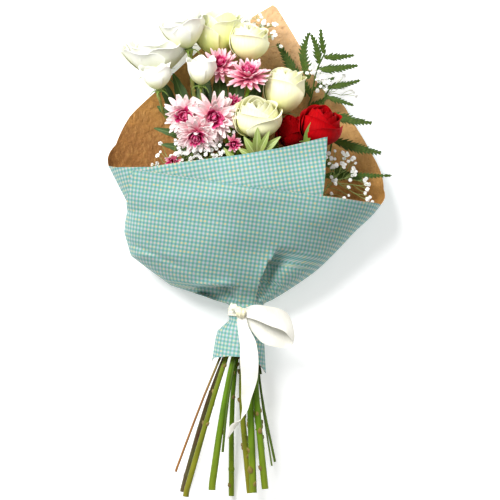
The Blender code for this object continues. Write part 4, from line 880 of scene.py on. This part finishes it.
def rays(radius, rings, first, draw):
    """Blades from a small ring round the core: tip = root + length (cos(rise) outward + sin(rise) up)."""
    roots, tips, ups = [], [], []
    for k, (count, length, rise) in enumerate(rings, first):
        turn = math.tau * (np.arange(count) + 0.37 * k + draw.uniform(-0.2, 0.2, count)) / count
        rise = np.radians(rise + draw.uniform(-12, 12, count))
        long = radius * length * draw.uniform(0.82, 1.05, count)
        outward = np.stack([np.cos(turn), np.sin(turn), 0 * turn], axis=-1)
        above = np.array([0, 0, 1.0])
        root = outward * radius * (0.18 - 0.02 * k) + above * radius * (0.20 + 0.03 * k)
        roots.append(root)
        tips.append(above * root[:, 2:] + outward * (long * np.cos(rise))[:, None]
                    + above * (long * np.sin(rise))[:, None])
        ups.append(above * np.cos(rise)[:, None] - outward * np.sin(rise)[:, None])
    roots, tips, ups = (np.concatenate(v) for v in (roots, tips, ups))
    widths = radius * draw.uniform(0.20, 0.31, len(roots))
    grids = between(roots, tips, ups, widths, "ray", rows=8, columns=5, arch=-0.05, fold=0.30)
    twist = draw.uniform(-0.16, 0.22, len(roots))[:, None, None]
    return grids + ups[:, None, None] * (twist * radius * np.linspace(0, 1, 8)[None, :, None]**2)[..., None]


draw = np.random.default_rng(8)
for name, (base, facing, radius) in MUMS.items():
    large = radius > 15
    pale = ROSY if "top" in name or not large else PINK
    for part, rings, first, finish in (("rays", PALE_RINGS if large else BUD_PALE, 0, pale),
                                       ("heart", DEEP_RINGS if large else BUD_DEEP, 4 if large else 2, HEART)):
        head = Piece()
        petals = stand(rays(radius, rings, first, draw), base, facing)
        head.blades(petals, 0.45, draw.uniform(0.2, 1.0, len(petals)))
        head.make(f"{name}_{part}", finish, "pink_petal", name)

# %% [markdown]
# ## Stems, cups and sepals
# Each stem follows the middle of its solid. Under each bloom sits a small green cup with pointed sepals, and the
# roses carry a few thorns and the scars of leaves that were stripped off.

# %% Cups and sepals
def cup_under(piece, base, axis, low, high, deep, sepals, length, width, spread, draw):
    """A turned cup below the bloom, and blades that start from its rim."""
    steps = np.linspace(0, 1, 6)
    middle = np.zeros((6, 3))
    middle[:, 2] = -deep * (1 - steps)
    piece.tube(stand(middle, base, axis), low + (high - low) * np.sin(steps * math.pi / 2) ** 0.8, 12)
    turn = math.tau * (np.arange(sepals) + draw.uniform(-0.2, 0.2, sepals)) / sepals
    outward = np.stack([np.cos(turn), np.sin(turn), 0 * turn], axis=-1)
    roots = outward * high * 0.8 + (0, 0, -deep * 0.25)
    lift = draw.uniform(-0.5, 0.35, sepals)[:, None]
    tips = roots + length * (outward * spread + np.array([0, 0, 1.0]) * lift)
    grids = between(roots, tips, np.array([0, 0, 1.0]), width, "sepal", rows=8, columns=5, arch=0.12, fold=0.25, curl=-0.25)
    piece.blades(stand(grids, base, axis), 0.4, draw.uniform(0.3, 1, sepals))


def thorns(piece, path, radius, count, draw):
    """Small hooked cones on the stem."""
    for _ in range(count):
        k = draw.integers(6, len(path) - 6)
        ahead = unit(path[k + 1] - path[k - 1])
        out = unit(np.cross(ahead, (draw.normal(), draw.normal(), draw.normal())))
        spot = path[k] + out * radius[k] * 0.7
        piece.tube([spot - ahead * 0.3, spot + out * 1.4, spot + out * 2.6 - ahead * 0.9], [1.5, 0.8, 0.12], 6, 0.9)


ROSE_STEMS = {"rose_cream_top": OLIVE_STEM, "rose_cream_front": STEM, "rose_cream_right": STEM,
              "rose_cream_wide": STEM, "rose_red_inner": STEM, "rose_red_outer": STEM}
HIDDEN_LEAVES = {  # dark leaves on the stems under the blooms: stalk near, tip, width
    "mum_left_stem": [((-70, 128, 55), (-82, 197, 46), 16), ((-64, 120, 55), (-104, 135, 62), 9),
                      ((-62, 105, 60), (-95, 117, 66), 10), ((-50, 120, 52), (-64, 202, 42), 17),
                      ((-45, 85, 62), (-52, 112, 76), 15), ((-55, 85, 62), (-78, 112, 70), 15),
                      ((-60, 130, 56), (-101, 160, 50), 13), ((-45, 85, 62), (-66, 96, 74), 14)],
    "mum_middle_stem": [((-34, 125, 56), (-32, 206, 46), 19), ((-20, 125, 54), (-10, 203, 42), 20),
                        ((-16, 95, 58), (-30, 118, 78), 14), ((-12, 110, 56), (14, 160, 50), 17),
                        ((-14, 80, 58), (-4, 110, 78), 13), ((-18, 120, 56), (18, 190, 44), 19)],
    "lisianthus_stem": [((-70, 140, 36), (-98, 192, 34), 14), ((-50, 120, 38), (-47, 206, 36), 17)],
}


def dark_leaves(piece, paths, leaves, draw):
    """Each leaf starts on the nearest stem, has a short stalk and bends a little towards its tip."""
    spots = np.concatenate(paths)
    for near, tip, width in leaves:
        root, tip = spots[np.linalg.norm(spots - near, axis=1).argmin()], np.array(tip, float)
        start = root + (tip - root) * 0.15
        piece.tube([root, start], [0.8, 0.6], 6, 0.3)
        grids = between(start, tip, (0.15 * draw.normal(), 0.1, 1.0), width, "lobed", rows=14, columns=7, arch=0.06,
                        fold=0.25, curl=-0.10)
        piece.blades(grids, 0.4, draw.uniform(0, 1, 1))


draw = np.random.default_rng(21)
for name, finish in ROSE_STEMS.items():
    base, axis, radius = BLOOMS[name][:3]
    base, axis = np.array(base, float), unit(np.array(axis, float))
    line = lines_of(name + "_stem", top=base[1] - 14)[0]
    end = np.array([[*(base - axis * 9), line[-1, 3]], [*(base - axis * 1), line[-1, 3]]])
    line = np.vstack([line[line[:, 1] < end[0, 1] - 3], end])
    stem = Piece()
    path, thick = stalk(stem, line, 12, 5, draw)
    thorns(stem, path[: len(path) // 2], thick, 5, draw)
    stem.make(name + "_stalk", finish, "green_stem", name + "_stem")
    scars = Piece()
    knobs(scars, path[: len(path) // 3], thick, 7, draw)
    scars.make(name + "_scars", SCAR, "green_stem", name + "_stem")
    calyx = Piece()
    cup_under(calyx, base, axis, 2.6, 5.6, 9.0, 5, 15.0, 5.5, 0.9, draw)
    if name == "rose_red_outer":  # one sepal stands up between the two red roses
        calyx.blades(between((63, 114, 92), (70, 142, 104), (-0.3, 0, 1), 8.0, "leaf", rows=9, columns=5, arch=0.1, fold=0.3), 0.4, 0.9)
    calyx.make(name + "_calyx", CALYX, "green_stem", name + "_stem")

BRANCHED = {"lisianthus_stem": (("lisianthus_wide", "lisianthus_top", "lisianthus_cup", "lisianthus_left"), DARK_STEM, "green_stem"),
            "mum_left_stem": (("mum_left_upper", "mum_left_front", "mum_left_bud", "mum_top_left"), OLIVE_STEM, "dark_stem"),
            "mum_middle_stem": (("mum_middle_upper", "mum_middle_bud", "mum_front_bud", "mum_top_right"), STEM, "dark_stem")}
for name, (blooms, finish, slot) in BRANCHED.items():
    stem, calyx, leafy = Piece(), Piece(), Piece()
    stalks, scars = [stalk(stem, line, 12 if line[0, 1] < -200 else 8, 4, draw) for line in lines_of(name)], Piece()
    paths = [path for path, _ in stalks]
    knobs(scars, *stalks[0], 14, draw)
    scars.make(name + "_scars", SCAR, slot, name)
    dark_leaves(leafy, paths, HIDDEN_LEAVES[name], draw)
    for bloom in blooms:
        base, axis, radius = BLOOMS[bloom][:3] if bloom in BLOOMS else MUMS[bloom]
        if bloom in BLOOMS:
            cup_under(calyx, base, axis, 1.6, radius * 0.24, radius * 0.3, 5, radius * 0.8, 3.0, 0.8, draw)
        else:
            cup_under(calyx, base, axis, 1.6, radius * 0.26, radius * 0.24, 9, radius * 0.3, 2.6, 0.9, draw)
    stem.make(name + "_stalks", finish, slot, name)
    calyx.make(name + "_cups", CALYX, slot, name)
    leafy.make(name + "_leaves", DARK_LEAF, slot, name)

# %% [markdown]
# ## Fern, baby's breath and the leafy sprig
# A leather-leaf frond is a rib with leaflets that are themselves cut into toothed segments. Each segment is a pointed
# blade that leans forward. A floret of baby's breath is a double star of small spoon-shaped petals.

# %% Fern
FERNS = {  # solid: its rib, and leaflets as root, tip, width and how far they bow to the right
    "fern_upper": ([(40, 90, 18), (70, 170, 24), (76, 200, 28), (85, 219, 34)],
                   [((66, 190, 26), (68, 242, 24), 15, -6), ((78, 207, 29), (69, 240, 30), 12, 2), ((84, 218, 33), (80, 246, 36), 10, -1),
                    ((84, 214, 32), (118, 216, 34), 11, 1), ((77, 200, 28), (122, 205, 30), 13, 1), ((62, 170, 23), (32, 230, 14), 18, 2),
                    ((72, 178, 25), (96, 192, 30), 9, 0), ((70, 170, 24), (58, 197, 26), 10, -1), ((66, 158, 22), (90, 170, 28), 9, 0)]),
    "fern_middle": ([(52, 80, 24), (80, 140, 30), (86, 172, 34), (92, 182, 36)],
                    [((88, 180, 35), (124, 188, 40), 11, 1), ((86, 170, 33), (117, 160, 38), 9, 0)]),
    "fern_lower": ([(58, 55, 38), (84, 90, 44), (92, 120, 50), (90, 152, 56)],
                   [((90, 150, 55), (137, 140, 60), 15, 2), ((93, 122, 50), (147, 107, 58), 16, 2),
                    ((86, 95, 45), (126, 76, 52), 12, 0), ((78, 82, 43), (158, 82, 66), 11, 0)]),
}


def pinna(piece, root, tip, width, bow, draw):
    """A leaflet: a thin bowed rib, a narrow blade along it, and teeth on both sides that shorten towards its tip."""
    root, tip = np.array(root, float), np.array(tip, float)
    along = tip - root
    length = np.linalg.norm(along)
    ahead, side = along / length, unit(np.cross(along, (0, 0, 1)))
    up = np.cross(side, ahead)
    count = int(length / 4.1)

    def bowed(s):
        return np.sin(math.pi * s)[:, None] * (0.06 * length * up + bow * side)

    s = (np.arange(count) + 0.2) / count
    rib = root + along * s[:, None] + bowed(s)
    piece.tube(rib + up * 0.3, np.linspace(0.6, 0.3, count), 5, 0.8)
    middle = between(root, tip, up, width * 0.42, "leaf", rows=16, columns=3)
    piece.blades(middle + bowed(np.linspace(0, 1, 16))[None, :, None], 0.35, 0.5)
    for hand in (-1, 1):
        long = width * 0.78 * (1.06 - s) ** 0.6 * np.minimum(1, 0.45 + 3 * s) * draw.uniform(0.88, 1.1, count)
        long = np.maximum(long, 2.2)
        lean = np.radians(draw.uniform(44, 54, count))[:, None]
        out = side * hand * np.cos(lean) + ahead * np.sin(lean) + up * draw.uniform(-0.2, 0.12, (count, 1))
        grids = between(rib, rib + unit(out) * long[:, None], up, np.minimum(4.3, 2.0 + long * 0.3), "tooth", rows=6, columns=3,
                        arch=0.05, fold=0.2)
        piece.blades(grids, 0.35, draw.uniform(0, 1, count))
    grids = between(rib[-2:-1], tip[None] + ahead * 0.5, up, 3.6, "tooth", rows=6, columns=3, fold=0.2)
    piece.blades(grids, 0.35, 0.6)


def stem_up_to(node, first, radius):
    """The cuts of the solid below its first leaf, thinned to a line that ends at that point."""
    line = lines_of(node, top=first[1] - 4, thickest=radius * 1.2)[0]
    return np.vstack([line, [*first, radius]])


draw = np.random.default_rng(34)
for name, (rib, leaflets) in FERNS.items():
    frond = Piece()
    radius = 1.4 if name == "fern_lower" else 1.2
    line = stem_up_to(name, rib[0], radius)
    line = np.vstack([line, [[*p, radius * 0.75] for p in rib[1:]]])
    path = curve_through(line[:, :3], 4)
    frond.tube(path, np.interp(np.arange(len(path)) / 4, np.arange(len(line)), line[:, 3]), 8, 0.9)
    for root, tip, width, bow in leaflets:
        pinna(frond, root, tip, width, bow, draw)
    frond.make(name + "_frond", FERN, "fern_frond", name)

# %% Baby's breath
BREATH = {  # solid: its main twig, and where florets sit: 1 alone, 2 a few, 3 a cluster
    "breath_top": ([(-24, 60, 14), (-14, 150, 12), (-4, 210, 16), (2, 248, 22)],
                   [((-5, 264, 30), 1), ((0, 253, 34), 3), ((13, 261, 26), 2), ((11, 255, 26), 2), ((22, 250, 28), 3),
                    ((29, 250, 28), 2), ((30, 238, 28), 3), ((36, 226, 26), 1), ((48, 193, 22), 2)]),
    "breath_upper": ([(34, 60, 18), (64, 120, 16), (82, 160, 20), (86, 178, 26)],
                     [((70, 196, 36), 3), ((80, 190, 42), 3), ((79, 199, 28), 3), ((87, 186, 40), 3), ((80, 181, 40), 2),
                      ((90, 174, 30), 2), ((101, 188, 20), 2), ((105, 181, 24), 1), ((117, 175, 26), 2)]),
    "breath_right": ([(46, 20, 40), (72, 50, 54), (92, 76, 60)],
                     [((95, 109, 70), 1), ((91, 102, 72), 3), ((109, 104, 66), 3), ((110, 98, 64), 1), ((106, 94, 66), 2),
                      ((89, 95, 74), 1), ((93, 91, 74), 3), ((116, 90, 60), 1), ((118, 96, 58), 2), ((114, 82, 64), 3),
                      ((128, 77, 62), 2), ((131, 67, 66), 2), ((110, 69, 70), 1), ((110, 60, 72), 1), ((91, 80, 78), 1),
                      ((95, 73, 78), 2), ((91, 62, 78), 1), ((105, 57, 74), 1), ((136, 53, 70), 2)]),
    "breath_left": ([(-52, 20, 40), (-76, 60, 60), (-84, 86, 66)],
                    [((-100, 104, 60), 1), ((-97, 118, 52), 1), ((-97, 108, 58), 1), ((-101, 95, 62), 2), ((-75, 96, 84), 2),
                     ((-79, 117, 80), 2), ((-62, 110, 90), 2), ((-68, 106, 88), 3), ((-58, 103, 91), 3), ((-51, 99, 92), 3),
                     ((-63, 98, 90), 2), ((-45, 109, 93), 3), ((-39, 104, 93), 3), ((-32, 107, 92), 2), ((-30, 100, 92), 2),
                     ((-84, 103, 76), 2), ((-27, 135, 88), 1), ((-16, 129, 90), 1), ((-66, 113, 92), 3), ((-54, 111, 95), 3),
                     ((-44, 116, 96), 2), ((-75, 108, 86), 3), ((-36, 113, 94), 3)]),
}


def floret(piece, spot, axis, radius, draw):
    """Two rings of small petals, the inner one steeper."""
    for count, long, rise, width in ((6, 1.0, 8, 0.85), (6, 0.85, 36, 0.75), (4, 0.6, 64, 0.55)):
        turn = math.tau * (np.arange(count) + draw.uniform(0, 1) + draw.uniform(-0.2, 0.2, count)) / count
        tilt = np.radians(rise + draw.uniform(-10, 10, count))
        out = np.stack([np.cos(turn) * np.cos(tilt), np.sin(turn) * np.cos(tilt), np.sin(tilt)], axis=-1)
        grids = between(out * 0.15 * radius, out * long * radius, np.array([0, 0, 1.0]), width * radius, "spoon",
                        rows=4, columns=3, fold=0.3)
        piece.blades(stand(grids, spot, axis), 0.25, draw.uniform(0.3, 1.0, count))


draw = np.random.default_rng(55)
for name, (main, ends) in BREATH.items():
    twigs, florets = Piece(), Piece()
    line = stem_up_to(name, main[0], 1.1)
    path = curve_through(np.vstack([line[:, :3], main[1:]]), 4)
    if name == "breath_left":
        low = Piece()
        low.tube(path[: len(path) // 2 + 1], 1.35, 8, 0.6)
        low.make(name + "_stalk", TWIG, "white_floret", name)
    twigs.tube(path, np.linspace(1.1, 0.7, len(path)), 7, 0.6)
    upper = path[-14:]
    for end, count in ends:
        end = np.array(end, float)
        start = upper[np.linalg.norm(upper - (end - (0, 14, 0)), axis=1).argmin()]
        fork = start + (end - start) * 0.6 + draw.uniform(-1.5, 1.5, 3)
        bend = draw.uniform(-4, 4, 3)
        twigs.tube(curve_through([start, (start + fork) / 2 + bend, fork], 3), 0.38, 5)
        for k in range((1, 3, 5)[count - 1]):
            tip = end + draw.uniform(-5.5, 5.5, 3) * (1, 1, 0.5) * (k > 0)
            twigs.tube([fork, (fork + tip) / 2 + draw.uniform(-1.5, 1.5, 3), tip], [0.3, 0.26, 0.3], 5)
            facing = (draw.uniform(-0.9, 0.9), draw.uniform(-0.6, 1.0), 0.9)
            floret(florets, tip, facing, draw.uniform(1.7, 3.0), draw)
    twigs.make(name + "_twigs", SPRAY_TWIG, "white_floret", name)
    florets.make(name + "_florets", FLORET, "white_floret", name)

# %% The leafy sprig
SPRIG = [(0, 40, 76), (6, 90, 92), (8, 104, 98)]
SPRIG_LEAVES = [((9, 106, 98), (10, 134, 111), 9.5), ((12, 105, 98), (35, 124, 106), 9), ((7, 105, 97), (-5, 124, 104), 9),
                ((11, 106, 99), (23, 130, 112), 8), ((5, 102, 96), (-11, 111, 98), 8), ((13, 102, 97), (35, 110, 102), 8),
                ((-8, 88, 88), (-27, 112, 94), 9)]
sprig = Piece()
line = stem_up_to("leafy_sprig", SPRIG[0], 1.3)
path = curve_through(np.vstack([line[:, :3], SPRIG[1:]]), 4)
below = Piece()
below.tube(path, np.linspace(1.4, 0.9, len(path)), 8, 0.4)
below.make("leafy_sprig_stalk", FERN, "light_leaf", "leafy_sprig")
roots, tips, widths = (np.array([leaf[k] for leaf in SPRIG_LEAVES], float) for k in range(3))
sprig.blades(between(roots, tips, np.array([0, 0, 1.0]), widths, "leaf", rows=11, columns=7, arch=0.08, fold=0.3), 0.4,
             np.linspace(0.3, 1, len(tips)))
sprig.make("leafy_sprig_leaves", LEAF, "light_leaf", "leafy_sprig")

# %% [markdown]
# ## The binding
# The twine that holds the stems inside the paper keeps its solid, only with its own material: fine windings round the
# stems, and fibres of two browns.

# %% Twine
twine, tree, shader = start_finish("binding twine", 0.8)
fibres = noise(tree, 900.0, 3.0, stretch=(0.3, 1.0, 0.3))
link(tree, ramp(tree, [(0.35, (0.26, 0.17, 0.07)), (0.65, (0.50, 0.37, 0.19))], fibres), shader.inputs["Base Color"])
bumped(tree, shader, fibres, 0.0006)
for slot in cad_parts["stem_binding"].material_slots:
    slot.material = twine

# %% [markdown]
# ## Floor, camera and light
# The bunch lies down, so the camera looks straight down on it, as the photo does. The light is one large soft lamp
# from the upper left and a weaker one from the right, on a near-white floor.

# %% Stage
middle = np.mean(cad_box, axis=0)
print("middle of the solids", middle.round(4))
floor_mesh = bpy.data.meshes.new("floor")
floor_mesh.from_pydata([(-3, -3, 0), (3, -3, 0), (3, 3, 0), (-3, 3, 0)], [], [(0, 1, 2, 3)])
floor = bpy.data.objects.new("floor", floor_mesh)
bpy.context.collection.objects.link(floor)
pale, tree, shader = start_finish("white floor", 0.9)
shader.inputs["Base Color"].default_value = (0.92, 0.92, 0.92, 1)
shader.inputs["Emission Color"].default_value, shader.inputs["Emission Strength"].default_value = (1, 1, 1, 1), 0.30
floor_mesh.materials.append(pale)

camera_data = bpy.data.cameras.new("camera")
camera = bpy.data.objects.new("camera", camera_data)
bpy.context.collection.objects.link(camera)
HEIGHT = 5.0
camera.location = (middle[0], middle[1], HEIGHT)
camera_data.sensor_width = 36.0
camera_data.lens = 36.0 * (HEIGHT - 0.05) / 0.552
bpy.context.scene.camera = camera


def lamp(name, place, size, power, colour=(1, 1, 1)):
    data = bpy.data.lights.new(name, "AREA")
    data.shape, data.size, data.energy, data.color = "DISK", size, power, colour
    made = bpy.data.objects.new(name, data)
    bpy.context.collection.objects.link(made)
    made.location = place
    made.rotation_euler = (Vector((middle[0], middle[1], 0.05)) - Vector(place)).to_track_quat("-Z", "Y").to_euler()


lamp("key", (-0.8, 1.0, 1.5), 1.1, 57.0)
lamp("fill", (0.9, 0.3, 1.8), 1.6, 8.0)
world = bpy.data.worlds.new("studio")
bpy.context.scene.world = world
world.use_nodes = True
world.node_tree.nodes["Background"].inputs["Color"].default_value = (1, 1, 1, 1)
world.node_tree.nodes["Background"].inputs["Strength"].default_value = 0.38
bpy.context.scene.view_settings.view_transform = "Standard"
